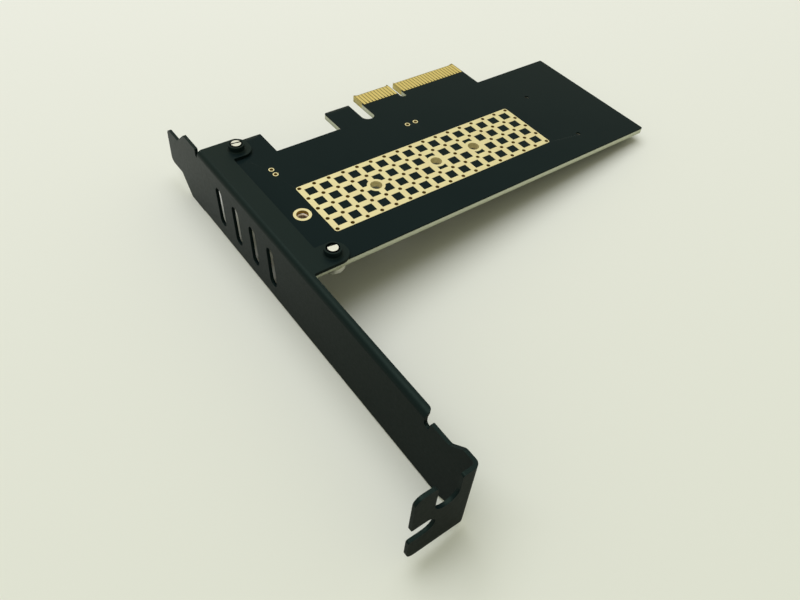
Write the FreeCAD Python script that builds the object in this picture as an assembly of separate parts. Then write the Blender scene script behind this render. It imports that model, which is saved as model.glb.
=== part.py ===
import FreeCAD, Part

# Expansion card that carries one M.2 solid-state drive and plugs into a four-lane slot.
# All lengths are millimetres.
#
# Frame: the origin is the centre of the key notch, on the front edge of the contacts and
# half way through the board.
#   +X runs along the card, away from the slot bracket
#   +Y points out of the contact edge, into the slot
#   +Z points out of the solder side of the board
# The drive's side of the board, with the socket, is the component side and faces -Z.

import math
import os

from FreeCAD import Vector

# ---------------------------------------------------------------- circuit board
BOARD_THICK = 1.6
BOARD_END = 46.7             # key notch centre to the free end of the board
BOARD_REAR = 51.1            # contact edge to the rear edge of the board
BOARD_BRACKET_GAP = 0.8      # board edge to the inside of the bracket face
CORNER_RADIUS = 0.3
ROUND_END_RATIO = 0.98       # radius of a rounded slot end, as a part of half the slot's width

TONGUE_LEFT = 12.15          # key notch centre to the bracket end of the contact tongue
TONGUE_RIGHT = 22.15         # key notch centre to the free end of the contact tongue
TONGUE_DEPTH = 11.6          # contact edge to the shoulder beyond the tongue
EDGE_BEVEL = 0.4
KEY_WIDTH = 1.9
KEY_DEPTH = 7.0

RELIEF_SLOT_WIDTH = 3.65     # between the tongue and the retention tab
RELIEF_SLOT_DEPTH = 11.15
RETENTION_TAB_WIDTH = 7.4
RETENTION_TAB_SETBACK = 3.2
RECESS_WIDTH = 18.55         # between the retention tab and the shoulder at the bracket
RECESS_DEPTH = 11.05
SHOULDER_SETBACK = 2.85

# ---------------------------------------------------------------- copper on the board
FOIL = 0.05                  # copper with its gold plating, on either side
PLATING = 0.05               # wall of a plated hole

CONTACT_PITCH = 1.0
CONTACT_WIDTH = 0.7
CONTACT_LENGTH = 4.3
CONTACT_SETBACK = 0.25       # beyond the bevel
CONTACTS_SHORT_SIDE = 11     # between the key notch and the bracket
CONTACTS_LONG_SIDE = 21
CONTACT_FIRST = 1.5          # key notch centre to the first contact on either side

DRIVE_LINE_Y = -34.15        # centre line of the drive
STANDOFF_INSET = 9.95        # bracket face to the hole for the longest drive
DRIVE_STEPS = (20.0, 18.0, 12.0)   # from each standoff hole to that of the next shorter drive
STEP_HOLE = 3.0
STEP_LAND = 2.2              # radius of bare copper round a step hole

GRID_PITCH = 4.0
GRID_COLUMNS = 17
GRID_ROWS = 5
GRID_MARGIN = 0.72           # last row of vias to the edge of the bare copper
GRID_CORNER = 0.7
GRID_WINDOW = 2.3            # side of a square left covered by solder mask
VIA_HOLE = 0.8
VIA_SIDES = 6                # flat sides keep the many small holes light

STANDOFF_HOLE = 2.8
STANDOFF_LAND = 4.3

HEADER_HOLE = 0.9
HEADER_LAND = 1.5
LAMP_HEADER_INSET = 12.05    # bracket face to the pair beside it
LAMP_HEADER_Y = -16.75
LAMP_HEADER_PITCH = 2.0
SERVICE_HEADER = (-7.45, -18.1)    # first hole of the pair above the thermal grid
SERVICE_HEADER_PITCH = 2.54

# ---------------------------------------------------------------- slot bracket
SHEET = 0.8
BEND_INSIDE = 0.6
FACE_DISTANCE = 58.6         # key notch centre to the outside of the bracket face
BRACKET_LENGTH = 120.42
BRACKET_WIDTH = 18.42
TIP_REACH = 15.3             # contact edge to the tip of the bracket's tongue

TIP_WIDTH = 9.8              # narrow end of the tongue
TIP_DROP = 4.15              # top of the bracket to the narrow end
TIP_LENGTH = 6.1
TIP_RADIUS = 1.5
TAPER_LENGTH = 4.5
TAPER_ROUND = 0.8            # where the taper runs into the root
PLATE_STEP = 0.8             # by which the plate stays below the flange where it isn't folded
BREAK_RADIUS = 0.2           # cut corners that are only just rounded
INNER_RADIUS = 0.4           # cut corners that turn inwards
ROOT_STEP = 0.3              # by which the root stands out from the lower edge
SLIT_WIDTH = 0.9             # between the root and the mounting flange
SLIT_DEPTH = 2.1

EAR_REACH = 12.0             # bracket face to the end of a mounting ear
EAR_WIDTH = 6.5
EAR_RADIUS = 3.0
MOUNT_STRIP = 6.0            # flange along the board
EDGE_STRIP = 1.9             # flange beyond the board
STRIP_RADIUS = 1.2
STRIP_END = 13.8             # end tab to the end of the flange
STRIP_NOTCH = 1.6
STRIP_NOTCH_DEPTH = 3.0

SCREW_INSET = 8.55           # bracket face to the screws' centre line
SCREW_FRONT_Y = -6.4
SCREW_FROM_FRONT = 3.9       # front of the mounting flange to the front screw
SCREW_SPACING = 42.2
BOSS_OUTSIDE = 3.9
BOSS_HEIGHT = 1.5
BOSS_FOOT = 0.25             # flare where a boss is drawn out of the flange

VENT_COUNT = 4
VENT_PITCH = 8.0
VENT_WIDTH = 3.0
VENT_LENGTH = 10.6
VENT_LEAN = 1.3              # by which a slot's upper end lies nearer the tongue than its lower end
VENT_DROP = 9.7              # top of the bracket to the middle of the slots
VENT_FROM_FRONT = 10.5       # front of the mounting flange to the first slot

TAB_DEPTH = 12.9             # bent end tab, outwards from the bracket face
TAB_WIDTH = 20.8
TAB_BOTTOM = 1.4             # lower edge of the bracket to the lower edge of the tab
TAB_ROOT_TOP = 2.1           # by which the tab's root stands above the top of the bracket
TAB_SHOULDER = 3.8           # length along the bracket of that raised root
TAB_RAMP = 3.2
TAB_RAMP_ROUND = 1.2
TAB_CORNER = 2.0
TAB_MOUTH_RADIUS = 0.5       # corners at the mouth of the screw slot and of the round cut
TAB_SLOT = 4.42
TAB_SLOT_LENGTH = 5.4
TAB_SLOT_LINE = 8.6          # lower edge of the tab to the slot's centre line
PRONG_WIDTH = 4.6
PRONG_RADIUS = 1.7
PRONG_INNER_RADIUS = 0.8
TAB_NECK = 3.0               # between the bend and the round cut
TAB_CUT_DEPTH = 7.9

# ---------------------------------------------------------------- screws
THREAD = 3.0
THREAD_CLEARANCE = 0.05
SCREW_LENGTH = 4.0
HEAD_DIAMETER = 5.6
HEAD_HEIGHT = 1.9
HEAD_ROUND = 1.1             # rounding of the head's shoulder
CROSS_WIDTH = 0.62
CROSS_LENGTH = 3.0
CROSS_DEPTH = 1.2
TIP_CHAMFER = 0.35
SCREW_HOLE = 3.4             # in the board

# ---------------------------------------------------------------- drive socket and standoff
SOCKET_WIDTH = 21.9
SOCKET_DEPTH = 8.0
SOCKET_HEIGHT = 4.2
SOCKET_CHAMFER = 0.4
PEG_SPACING = 19.8
PEG_DIAMETER = 1.1
PEG_CLEARANCE = 0.05
PEG_LENGTH = 1.2             # into the board
PEG_DISTANCE = 77.85         # standoff hole to the socket's pegs
PEG_FROM_MOUTH = 3.6         # socket mouth to its pegs
SOCKET_SEAT = 2.45           # board to the underside of the seated drive
DRIVE_THICK = 0.8
ENTRY_WIDTH = 20.1
ENTRY_HEIGHT = 0.95
ENTRY_DEPTH = 5.4
ENTRY_FLARE = 0.5
KEY_WEB = 0.9
KEY_WEB_OFFSET = 6.125       # drive's centre line to the key

PIN_PITCH = 0.5
PIN_WIDTH = 0.22
PIN_THICK = 0.14
PIN_GAP = 0.5                # between facing pins, before a drive spreads them
UPPER_PIN_COUNT = 38
LOWER_PIN_COUNT = 37
KEY_PIN_COUNT = 4                 # places left empty at the key, in either row
PIN_TIP_INSET = 1.1          # socket mouth to the tips of the pins
PIN_FOOT = 0.9
PIN_CLEARANCE = 0.02
HOLD_DOWN_LENGTH = 2.6
HOLD_DOWN_THICK = 0.2
HOLD_DOWN_LAP = 0.8          # under the housing
HOLD_DOWN_REACH = 1.0        # beyond the housing
HOLD_DOWN_HEIGHT = 2.0

STANDOFF_DIAMETER = 5.4
STANDOFF_HEIGHT = 2.4
STANDOFF_BORE = 2.0
STANDOFF_PILOT = 2.6
STANDOFF_PILOT_LENGTH = 0.8
STANDOFF_CHAMFER = 0.25

# ---------------------------------------------------------------- chip parts
CAPACITOR = (2.0, 1.25, 1.25)      # length, width, height
RESISTOR = (1.6, 0.8, 0.45)
LAMP = (1.6, 0.8, 0.35)
CHIP_END = 0.4                     # length of a tinned end
CHIP_END_WRAP = 0.03
CAPACITOR_COUNT = 4
CAPACITOR_PITCH = 3.0
CAPACITOR_START = (12.0, -19.6)
LAMP_INSET = 17.6                  # bracket face to the lamp and its resistor
RESISTOR_Y = -16.8
LAMP_Y = -19.0
LENS_HEIGHT = 0.4
LENS_SLOPE = 0.1

TINY = 1e-6                        # two points nearer than this are one

# ---------------------------------------------------------------- worked out from the above
SOLDER_Z = BOARD_THICK / 2
COMPONENT_Z = -BOARD_THICK / 2
FACE_OUT_X = -FACE_DISTANCE
FACE_IN_X = FACE_OUT_X + SHEET
BOARD_START = FACE_IN_X + BOARD_BRACKET_GAP
FLANGE_TOP_Z = SOLDER_Z + SHEET
LOWER_EDGE_Z = FLANGE_TOP_Z - BRACKET_WIDTH
BEND_OUTSIDE = BEND_INSIDE + SHEET
TAB_OUT_Y = TIP_REACH - BRACKET_LENGTH
FLANGE_FRONT_Y = SCREW_FRONT_Y + SCREW_FROM_FRONT
ROOT_START_Y = FLANGE_FRONT_Y + SLIT_WIDTH
SCREW_X = FACE_OUT_X + SCREW_INSET
SCREW_YS = (SCREW_FRONT_Y, SCREW_FRONT_Y - SCREW_SPACING)
VENT_FIRST_Y = FLANGE_FRONT_Y - VENT_FROM_FRONT
STANDOFF_X = FACE_OUT_X + STANDOFF_INSET
LAMP_HEADER = (FACE_OUT_X + LAMP_HEADER_INSET, LAMP_HEADER_Y)
RESISTOR_AT = (FACE_OUT_X + LAMP_INSET, RESISTOR_Y)
LAMP_AT = (FACE_OUT_X + LAMP_INSET, LAMP_Y)
GRID_X0 = STANDOFF_X + GRID_PITCH
GRID_Y0 = DRIVE_LINE_Y + GRID_PITCH * (GRID_ROWS - 1) / 2
PEG_X = STANDOFF_X + PEG_DISTANCE
MOUTH_X = PEG_X - PEG_FROM_MOUTH
ENTRY_Z = COMPONENT_Z - SOCKET_SEAT - DRIVE_THICK / 2


# ---------------------------------------------------------------- general helpers
def on_xy(height):
    """Places (a, b) at (x, y) on a level plane."""
    return lambda a, b: Vector(a, b, height)


def on_yz(offset):
    """Places (a, b) at (y, z) on a plane square to X."""
    return lambda a, b: Vector(offset, a, b)


def on_xz(offset):
    """Places (a, b) at (x, z) on a plane square to Y."""
    return lambda a, b: Vector(a, offset, b)


def rounded_wire(corners, place):
    """Closed wire through corners (a, b, radius); each radius is a tangent arc."""
    count = len(corners)
    spans = []
    for index, (a, b, radius) in enumerate(corners):
        here = Vector(a, b, 0)
        before = corners[index - 1]
        after = corners[(index + 1) % count]
        back = (Vector(before[0], before[1], 0) - here).normalize()
        ahead = (Vector(after[0], after[1], 0) - here).normalize()
        if radius == 0:
            spans.append((here, None, here))
            continue
        half = back.getAngle(ahead) / 2
        inward = (back + ahead).normalize()
        middle = here + inward * (radius / math.sin(half) - radius)
        setback = radius / math.tan(half)
        spans.append((here + back * setback, middle, here + ahead * setback))
    edges = []
    for index, (start, middle, end) in enumerate(spans):
        if middle is not None:
            points = [place(p.x, p.y) for p in (start, middle, end)]
            edges.append(Part.Arc(*points).toShape())
        following = spans[(index + 1) % count][0]
        if not following.isEqual(end, TINY):
            ends = (place(end.x, end.y), place(following.x, following.y))
            edges.append(Part.LineSegment(*ends).toShape())
    return Part.Wire(edges)


def prism(corners, place, along):
    """Solid with a rounded outline, extruded along a vector."""
    return Part.Face(rounded_wire(corners, place)).extrude(along)


def block(x0, x1, y0, y1, z0, z1):
    """Box between two corners given in any order."""
    low = Vector(min(x0, x1), min(y0, y1), min(z0, z1))
    return Part.makeBox(abs(x1 - x0), abs(y1 - y0), abs(z1 - z0), low)


def cylinder(diameter, x, y, z0, z1):
    """Upright cylinder between two heights."""
    return Part.makeCylinder(diameter / 2, abs(z1 - z0), Vector(x, y, min(z0, z1)))


def circle_wire(diameter, x, y, z):
    """Level circle as a closed wire."""
    return Part.Wire([Part.makeCircle(diameter / 2, Vector(x, y, z))])


def polygon_wire(diameter, sides, x, y, z):
    """Level regular polygon about a circle's place, as wide as the circle between its corners."""
    turns = [2 * math.pi * (index + 0.5) / sides for index in range(sides)]
    corners = [(x + math.cos(turn) * diameter / 2, y + math.sin(turn) * diameter / 2, 0) for turn in turns]
    return rounded_wire(corners, on_xy(z))


def sheet_face(wires):
    """Flat face of one outline and the holes inside it."""
    return Part.makeFace(wires, "Part::FaceMakerBullseye")


def rectangle(x0, x1, y0, y1, radius=0):
    """Corner list of a rectangle for rounded_wire."""
    return [(x0, y0, radius), (x1, y0, radius), (x1, y1, radius), (x0, y1, radius)]


def save(name, shape):
    """Writes one piece, or a group of like pieces, to its own file."""
    shape.exportStep("parts/" + name + ".step")


# ---------------------------------------------------------------- places of repeated features
def step_hole_places():
    """Holes for the shorter drives, all inside the thermal grid."""
    x = STANDOFF_X
    places = []
    for step in DRIVE_STEPS:
        x += step
        places.append((x, DRIVE_LINE_Y))
    return places


def via_places():
    """Lattice of thermal vias, without those that a step hole's land takes."""
    places = []
    for column in range(GRID_COLUMNS):
        for row in range(GRID_ROWS):
            x = GRID_X0 + column * GRID_PITCH
            y = GRID_Y0 - row * GRID_PITCH
            if all(math.hypot(x - hx, y - hy) > STEP_LAND for hx, hy in step_hole_places()):
                places.append((x, y))
    return places


def header_places():
    """Two pairs of plated holes."""
    lamp_x, lamp_y = LAMP_HEADER
    service_x, service_y = SERVICE_HEADER
    lamp = [(lamp_x, lamp_y), (lamp_x, lamp_y - LAMP_HEADER_PITCH)]
    service = [(service_x, service_y), (service_x + SERVICE_HEADER_PITCH, service_y)]
    return lamp, service


def peg_places():
    """Centres of the socket's two locating pegs."""
    return [(PEG_X, DRIVE_LINE_Y + side * PEG_SPACING / 2) for side in (-1, 1)]


# ---------------------------------------------------------------- circuit board
def board_outline():
    """Board edge, clockwise from the corner at the bracket end of the rear edge."""
    slot_left = -TONGUE_LEFT - RELIEF_SLOT_WIDTH
    tab_left = slot_left - RETENTION_TAB_WIDTH
    shoulder = tab_left - RECESS_WIDTH
    slot_round = RELIEF_SLOT_WIDTH / 2 * ROUND_END_RATIO
    key_round = KEY_WIDTH / 2 * ROUND_END_RATIO
    r = CORNER_RADIUS
    return [
        (BOARD_START, -BOARD_REAR, r),
        (BOARD_START, -SHOULDER_SETBACK, r),
        (shoulder, -SHOULDER_SETBACK, r),
        (shoulder, -RECESS_DEPTH, r),
        (tab_left, -RECESS_DEPTH, r),
        (tab_left, -RETENTION_TAB_SETBACK, r),
        (slot_left, -RETENTION_TAB_SETBACK, r),
        (slot_left, -RELIEF_SLOT_DEPTH, slot_round),
        (-TONGUE_LEFT, -RELIEF_SLOT_DEPTH, slot_round),
        (-TONGUE_LEFT, 0, r),
        (-KEY_WIDTH / 2, 0, r),
        (-KEY_WIDTH / 2, -KEY_DEPTH, key_round),
        (KEY_WIDTH / 2, -KEY_DEPTH, key_round),
        (KEY_WIDTH / 2, 0, r),
        (TONGUE_RIGHT, 0, r),
        (TONGUE_RIGHT, -TONGUE_DEPTH, r),
        (BOARD_END, -TONGUE_DEPTH, r),
        (BOARD_END, -BOARD_REAR, r),
    ]


def circuit_board():
    """Laminate with every drilled hole and the bevel on its contact edge."""
    drill = 2 * PLATING
    lamp, service = header_places()
    holes = [(STEP_HOLE, x, y) for x, y in step_hole_places()]
    holes += [(STANDOFF_HOLE + drill, STANDOFF_X, DRIVE_LINE_Y)]
    holes += [(HEADER_HOLE + drill, x, y) for x, y in lamp + service]
    holes += [(PEG_DIAMETER + 2 * PEG_CLEARANCE, x, y) for x, y in peg_places()]
    holes += [(SCREW_HOLE, SCREW_X, y) for y in SCREW_YS]
    wires = [rounded_wire(board_outline(), on_xy(COMPONENT_Z))]
    wires += [circle_wire(d, x, y, COMPONENT_Z) for d, x, y in holes]
    wires += [polygon_wire(VIA_HOLE, VIA_SIDES, x, y, COMPONENT_Z) for x, y in via_places()]
    board = sheet_face(wires).extrude(Vector(0, 0, BOARD_THICK))
    length = TONGUE_LEFT + TONGUE_RIGHT
    for side in (-1, 1):
        skin = side * SOLDER_Z
        wedge = [(-EDGE_BEVEL, skin, 0), (0, skin - side * EDGE_BEVEL, 0), (EDGE_BEVEL, skin, 0)]
        cutter = prism(wedge, on_yz(-TONGUE_LEFT), Vector(length, 0, 0))
        board = board.cut(cutter)
    return board


# ---------------------------------------------------------------- copper
def thermal_grid():
    """Bare copper behind the drive, round the vias, the step holes and the squares of solder mask."""
    x1 = GRID_X0 + (GRID_COLUMNS - 1) * GRID_PITCH + GRID_MARGIN
    y0 = GRID_Y0 - (GRID_ROWS - 1) * GRID_PITCH - GRID_MARGIN
    corners = rectangle(GRID_X0 - GRID_MARGIN, x1, y0, GRID_Y0 + GRID_MARGIN, GRID_CORNER)
    wires = [rounded_wire(corners, on_xy(SOLDER_Z))]
    wires += [polygon_wire(VIA_HOLE, VIA_SIDES, x, y, SOLDER_Z) for x, y in via_places()]
    wires += [circle_wire(STEP_HOLE, x, y, SOLDER_Z) for x, y in step_hole_places()]
    wires += mask_windows(SOLDER_Z)
    return sheet_face(wires).extrude(Vector(0, 0, FOIL))


def mask_windows(z0):
    """Outlines of the mask squares, cut back where a step hole's land reaches them."""
    windows = []
    half = GRID_WINDOW / 2
    for column in range(GRID_COLUMNS - 1):
        for row in range(GRID_ROWS - 1):
            x = GRID_X0 + (column + 0.5) * GRID_PITCH
            y = GRID_Y0 - (row + 0.5) * GRID_PITCH
            square = Part.Face(rounded_wire(rectangle(x - half, x + half, y - half, y + half), on_xy(z0)))
            for hx, hy in step_hole_places():
                if math.hypot(x - hx, y - hy) < STEP_LAND + GRID_WINDOW:
                    square = square.cut(Part.Face(circle_wire(2 * STEP_LAND, hx, hy, z0)))
            windows += [face.OuterWire for face in square.Faces]
    return windows


def eyelet(hole, land, x, y):
    """Plated hole with a land on both faces, turned as one ring."""
    inner = hole / 2
    middle = inner + PLATING
    outer = land / 2
    top = SOLDER_Z + FOIL
    outline = [
        (inner, top, 0), (outer, top, 0), (outer, SOLDER_Z, 0), (middle, SOLDER_Z, 0),
        (middle, COMPONENT_Z, 0), (outer, COMPONENT_Z, 0), (outer, -top, 0), (inner, -top, 0),
    ]
    ring = Part.Face(rounded_wire(outline, on_xz(0))).revolve(Vector(0, 0, 0), Vector(0, 0, 1), 360)
    ring.translate(Vector(x, y, 0))
    return ring


def edge_contacts(z0):
    """Gold contacts on one face of the tongue, either side of the key notch."""
    y1 = -EDGE_BEVEL - CONTACT_SETBACK
    places = [-CONTACT_FIRST - CONTACT_PITCH * i for i in range(CONTACTS_SHORT_SIDE)]
    places += [CONTACT_FIRST + CONTACT_PITCH * i for i in range(CONTACTS_LONG_SIDE)]
    half = CONTACT_WIDTH / 2
    return Part.makeCompound([block(x - half, x + half, y1 - CONTACT_LENGTH, y1, z0, z0 + FOIL) for x in places])


# ---------------------------------------------------------------- slot bracket
def face_outline():
    """Bracket face in (y, z): tongue, root, plate under the flange, and the raised end at the tab."""
    top = FLANGE_TOP_Z - PLATE_STEP
    low = LOWER_EDGE_Z
    tip_top = FLANGE_TOP_Z - TIP_DROP
    tip_low = tip_top - TIP_WIDTH
    taper_y = TIP_REACH - TIP_LENGTH
    root_y = taper_y - TAPER_LENGTH
    shoulder_y = TAB_OUT_Y + STRIP_END - STRIP_NOTCH
    raised = FLANGE_TOP_Z + TAB_ROOT_TOP
    rise_y = TAB_OUT_Y + TAB_SHOULDER
    under = FLANGE_TOP_Z - BEND_OUTSIDE
    slit = FLANGE_TOP_Z - SLIT_DEPTH
    notch = FLANGE_TOP_Z - STRIP_NOTCH_DEPTH
    small = SLIT_WIDTH / 2 * ROUND_END_RATIO
    wide = STRIP_NOTCH / 2 * ROUND_END_RATIO
    return [
        (TIP_REACH, tip_low, TIP_RADIUS),
        (TIP_REACH, tip_top, TIP_RADIUS),
        (taper_y, tip_top, BREAK_RADIUS),
        (root_y, top, TAPER_ROUND),
        (ROOT_START_Y, top, BREAK_RADIUS),
        (ROOT_START_Y, slit, small),
        (FLANGE_FRONT_Y, slit, small),
        (FLANGE_FRONT_Y, under, 0),
        (TAB_OUT_Y + STRIP_END, under, 0),
        (TAB_OUT_Y + STRIP_END, notch, wide),
        (shoulder_y, notch, wide),
        (shoulder_y, top, INNER_RADIUS),
        (rise_y + TAB_RAMP, top, TAB_RAMP_ROUND),
        (rise_y, raised, TAB_RAMP_ROUND),
        (TAB_OUT_Y, raised, 0),
        (TAB_OUT_Y, low + TAB_BOTTOM, 0),
        (rise_y, low + TAB_BOTTOM, TAB_RAMP_ROUND),
        (rise_y + TAB_RAMP, low, TAB_RAMP_ROUND),
        (FLANGE_FRONT_Y, low, 0),
        (FLANGE_FRONT_Y + ROOT_STEP, low - ROOT_STEP, BREAK_RADIUS),
        (root_y, low - ROOT_STEP, TAPER_ROUND),
        (taper_y, tip_low, INNER_RADIUS),
    ]


def tab_outline():
    """End tab in (x, z), seen along the bracket: open screw slot, prong and round cut."""
    left = FACE_OUT_X - TAB_DEPTH
    low = LOWER_EDGE_Z + TAB_BOTTOM
    high = low + TAB_WIDTH
    neck_x = FACE_OUT_X - TAB_NECK
    prong_x = left + PRONG_WIDTH
    root_high = FLANGE_TOP_Z + TAB_ROOT_TOP
    cut_low = root_high - TAB_CUT_DEPTH
    cut_round = (neck_x - prong_x) / 2 * ROUND_END_RATIO
    slot_end = left + TAB_SLOT_LENGTH
    slot_low = low + TAB_SLOT_LINE - TAB_SLOT / 2
    slot_high = slot_low + TAB_SLOT
    slot_round = TAB_SLOT / 2 * ROUND_END_RATIO
    return [
        (FACE_IN_X, low, 0),
        (left, low, TAB_CORNER),
        (left, slot_low, TAB_MOUTH_RADIUS),
        (slot_end, slot_low, slot_round),
        (slot_end, slot_high, slot_round),
        (left, slot_high, TAB_MOUTH_RADIUS),
        (left, high, PRONG_RADIUS),
        (prong_x, high, PRONG_INNER_RADIUS),
        (prong_x, cut_low, cut_round),
        (neck_x, cut_low, cut_round),
        (neck_x, root_high, TAB_MOUTH_RADIUS),
        (FACE_IN_X, root_high, 0),
    ]


def folded_face():
    """Bracket face and end tab as one bent sheet."""
    reach = TAB_DEPTH + SHEET
    bent = [
        (FACE_OUT_X, TIP_REACH, 0),
        (FACE_IN_X, TIP_REACH, 0),
        (FACE_IN_X, TAB_OUT_Y, BEND_OUTSIDE),
        (FACE_IN_X - reach, TAB_OUT_Y, 0),
        (FACE_IN_X - reach, TAB_OUT_Y + SHEET, 0),
        (FACE_OUT_X, TAB_OUT_Y + SHEET, BEND_INSIDE),
    ]
    low = LOWER_EDGE_Z - ROOT_STEP
    height = BRACKET_WIDTH + ROOT_STEP + TAB_WIDTH
    sheet = prism(bent, on_xy(low), Vector(0, 0, height))
    face_zone = prism(face_outline(), on_yz(FACE_OUT_X - BEND_INSIDE), Vector(SHEET + BEND_INSIDE, 0, 0))
    tab_zone = prism(tab_outline(), on_xz(TAB_OUT_Y), Vector(0, SHEET + BEND_INSIDE, 0))
    return sheet.common(face_zone.fuse(tab_zone))


def flange_outline():
    """Mounting flange in (x, y): strip along the board with two ears, then a narrower strip."""
    inner = FACE_OUT_X
    strip = FACE_OUT_X + MOUNT_STRIP
    narrow = FACE_OUT_X + EDGE_STRIP
    ear = FACE_OUT_X + EAR_REACH
    half = EAR_WIDTH / 2
    front, rear = SCREW_YS
    end_y = TAB_OUT_Y + STRIP_END
    return [
        (inner, FLANGE_FRONT_Y, 0),
        (ear, FLANGE_FRONT_Y, EAR_RADIUS),
        (ear, front - half, EAR_RADIUS),
        (strip, front - half, INNER_RADIUS),
        (strip, rear + half, INNER_RADIUS),
        (ear, rear + half, EAR_RADIUS),
        (ear, rear - half, EAR_RADIUS),
        (narrow, rear - half, INNER_RADIUS),
        (narrow, end_y, STRIP_RADIUS),
        (inner, end_y, 0),
    ]


def folded_flange():
    """Mounting flange with its bend down to the bracket face."""
    end_y = TAB_OUT_Y + STRIP_END
    under = FLANGE_TOP_Z - BEND_OUTSIDE
    bent = [
        (FACE_OUT_X, under, 0),
        (FACE_OUT_X, FLANGE_TOP_Z, BEND_OUTSIDE),
        (FACE_OUT_X + EAR_REACH, FLANGE_TOP_Z, 0),
        (FACE_OUT_X + EAR_REACH, SOLDER_Z, 0),
        (FACE_IN_X, SOLDER_Z, BEND_INSIDE),
        (FACE_IN_X, under, 0),
    ]
    sheet = prism(bent, on_xz(end_y), Vector(0, FLANGE_FRONT_Y - end_y, 0))
    zone = prism(flange_outline(), on_xy(under), Vector(0, 0, BEND_OUTSIDE))
    return sheet.common(zone)


def vent_slots():
    """Cutters for the row of slightly leaning slots in the bracket face."""
    middle = FLANGE_TOP_Z - VENT_DROP
    half = VENT_LENGTH / 2
    wide = VENT_WIDTH / 2
    lean = VENT_LEAN / 2
    round_end = wide * ROUND_END_RATIO
    slots = []
    for index in range(VENT_COUNT):
        y = VENT_FIRST_Y - index * VENT_PITCH
        corners = [
            (y - lean - wide, middle - half, round_end),
            (y - lean + wide, middle - half, round_end),
            (y + lean + wide, middle + half, round_end),
            (y + lean - wide, middle + half, round_end),
        ]
        slots.append(prism(corners, on_yz(FACE_OUT_X - SHEET), Vector(3 * SHEET, 0, 0)))
    return slots


def drawn_boss(y):
    """Collar drawn out of the flange, with a flared foot."""
    collar = cylinder(BOSS_OUTSIDE, SCREW_X, y, FLANGE_TOP_Z, FLANGE_TOP_Z + BOSS_HEIGHT)
    radius = BOSS_OUTSIDE / 2
    foot = Part.makeCone(radius + BOSS_FOOT, radius, BOSS_FOOT, Vector(SCREW_X, y, FLANGE_TOP_Z))
    return collar.fuse(foot)


def slot_bracket():
    """Whole bracket: one folded sheet with drawn bosses that the screws thread into."""
    bracket = folded_face().fuse(folded_flange())
    bracket = bracket.multiFuse([drawn_boss(y) for y in SCREW_YS])
    bore = THREAD + 2 * THREAD_CLEARANCE
    bores = [cylinder(bore, SCREW_X, y, 0, FLANGE_TOP_Z + 2 * BOSS_HEIGHT) for y in SCREW_YS]
    return bracket.cut(Part.makeCompound(bores + vent_slots())).removeSplitter()


# ---------------------------------------------------------------- screws
def bracket_screw(y):
    """Pan-head screw from the component side, with a cross recess and a chamfered tip."""
    seat = COMPONENT_Z
    crown = seat - HEAD_HEIGHT
    tip = seat + SCREW_LENGTH
    r = THREAD / 2
    rim = HEAD_DIAMETER / 2
    half_section = [
        (0, tip, 0),
        (r - TIP_CHAMFER, tip, 0),
        (r, tip - TIP_CHAMFER, 0),
        (r, seat, 0),
        (rim, seat, 0),
        (rim, crown, HEAD_ROUND),
        (0, crown, 0),
    ]
    screw = Part.Face(rounded_wire(half_section, on_xz(0))).revolve(Vector(0, 0, 0), Vector(0, 0, 1), 360)
    half_length = CROSS_LENGTH / 2
    half_width = CROSS_WIDTH / 2
    along = block(-half_length, half_length, -half_width, half_width, crown, crown + CROSS_DEPTH)
    across = block(-half_width, half_width, -half_length, half_length, crown, crown + CROSS_DEPTH)
    screw = screw.cut(along.fuse(across))
    screw.translate(Vector(SCREW_X, y, 0))
    return screw


# ---------------------------------------------------------------- drive socket
def pin_lines(count):
    """Centre line of each pin in a row, without the places that the key takes."""
    first = DRIVE_LINE_Y - (count - 1) * PIN_PITCH / 2
    places = [first + index * PIN_PITCH for index in range(count)]
    key_y = DRIVE_LINE_Y + KEY_WEB_OFFSET
    return [y for y in places if abs(y - key_y) > KEY_PIN_COUNT * PIN_PITCH / 2]


def upper_pin_section():
    """Section of a pin that leaves by the back of the housing, in (x, z)."""
    inner = ENTRY_Z - PIN_GAP / 2
    outer = inner - PIN_THICK
    back = MOUTH_X + SOCKET_DEPTH
    return [
        (MOUTH_X + PIN_TIP_INSET, inner, 0),
        (MOUTH_X + PIN_TIP_INSET, outer, 0),
        (back + PIN_THICK, outer, 0),
        (back + PIN_THICK, COMPONENT_Z - PIN_THICK, 0),
        (back + PIN_THICK + PIN_FOOT, COMPONENT_Z - PIN_THICK, 0),
        (back + PIN_THICK + PIN_FOOT, COMPONENT_Z, 0),
        (back, COMPONENT_Z, 0),
        (back, inner, 0),
    ]


def lower_pin_section():
    """Section of a pin that turns down inside the housing and leaves under its mouth, in (x, z)."""
    inner = ENTRY_Z + PIN_GAP / 2
    outer = inner + PIN_THICK
    deep = MOUTH_X + ENTRY_DEPTH
    return [
        (MOUTH_X + PIN_TIP_INSET, inner, 0),
        (deep, inner, 0),
        (deep, COMPONENT_Z, 0),
        (MOUTH_X - PIN_FOOT, COMPONENT_Z, 0),
        (MOUTH_X - PIN_FOOT, COMPONENT_Z - PIN_THICK, 0),
        (deep - PIN_THICK, COMPONENT_Z - PIN_THICK, 0),
        (deep - PIN_THICK, outer, 0),
        (MOUTH_X + PIN_TIP_INSET, outer, 0),
    ]


def pin_row(section, count):
    """One row of like pins, side by side along the socket."""
    half = PIN_WIDTH / 2
    pins = [prism(section, on_xz(y - half), Vector(0, PIN_WIDTH, 0)) for y in pin_lines(count)]
    return Part.makeCompound(pins)


def pin_groups(count):
    """First and last centre line of each run of pins, either side of the key."""
    key_y = DRIVE_LINE_Y + KEY_WEB_OFFSET
    rear = [y for y in pin_lines(count) if y < key_y]
    front = [y for y in pin_lines(count) if y > key_y]
    return [(group[0], group[-1]) for group in (rear, front)]


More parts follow.
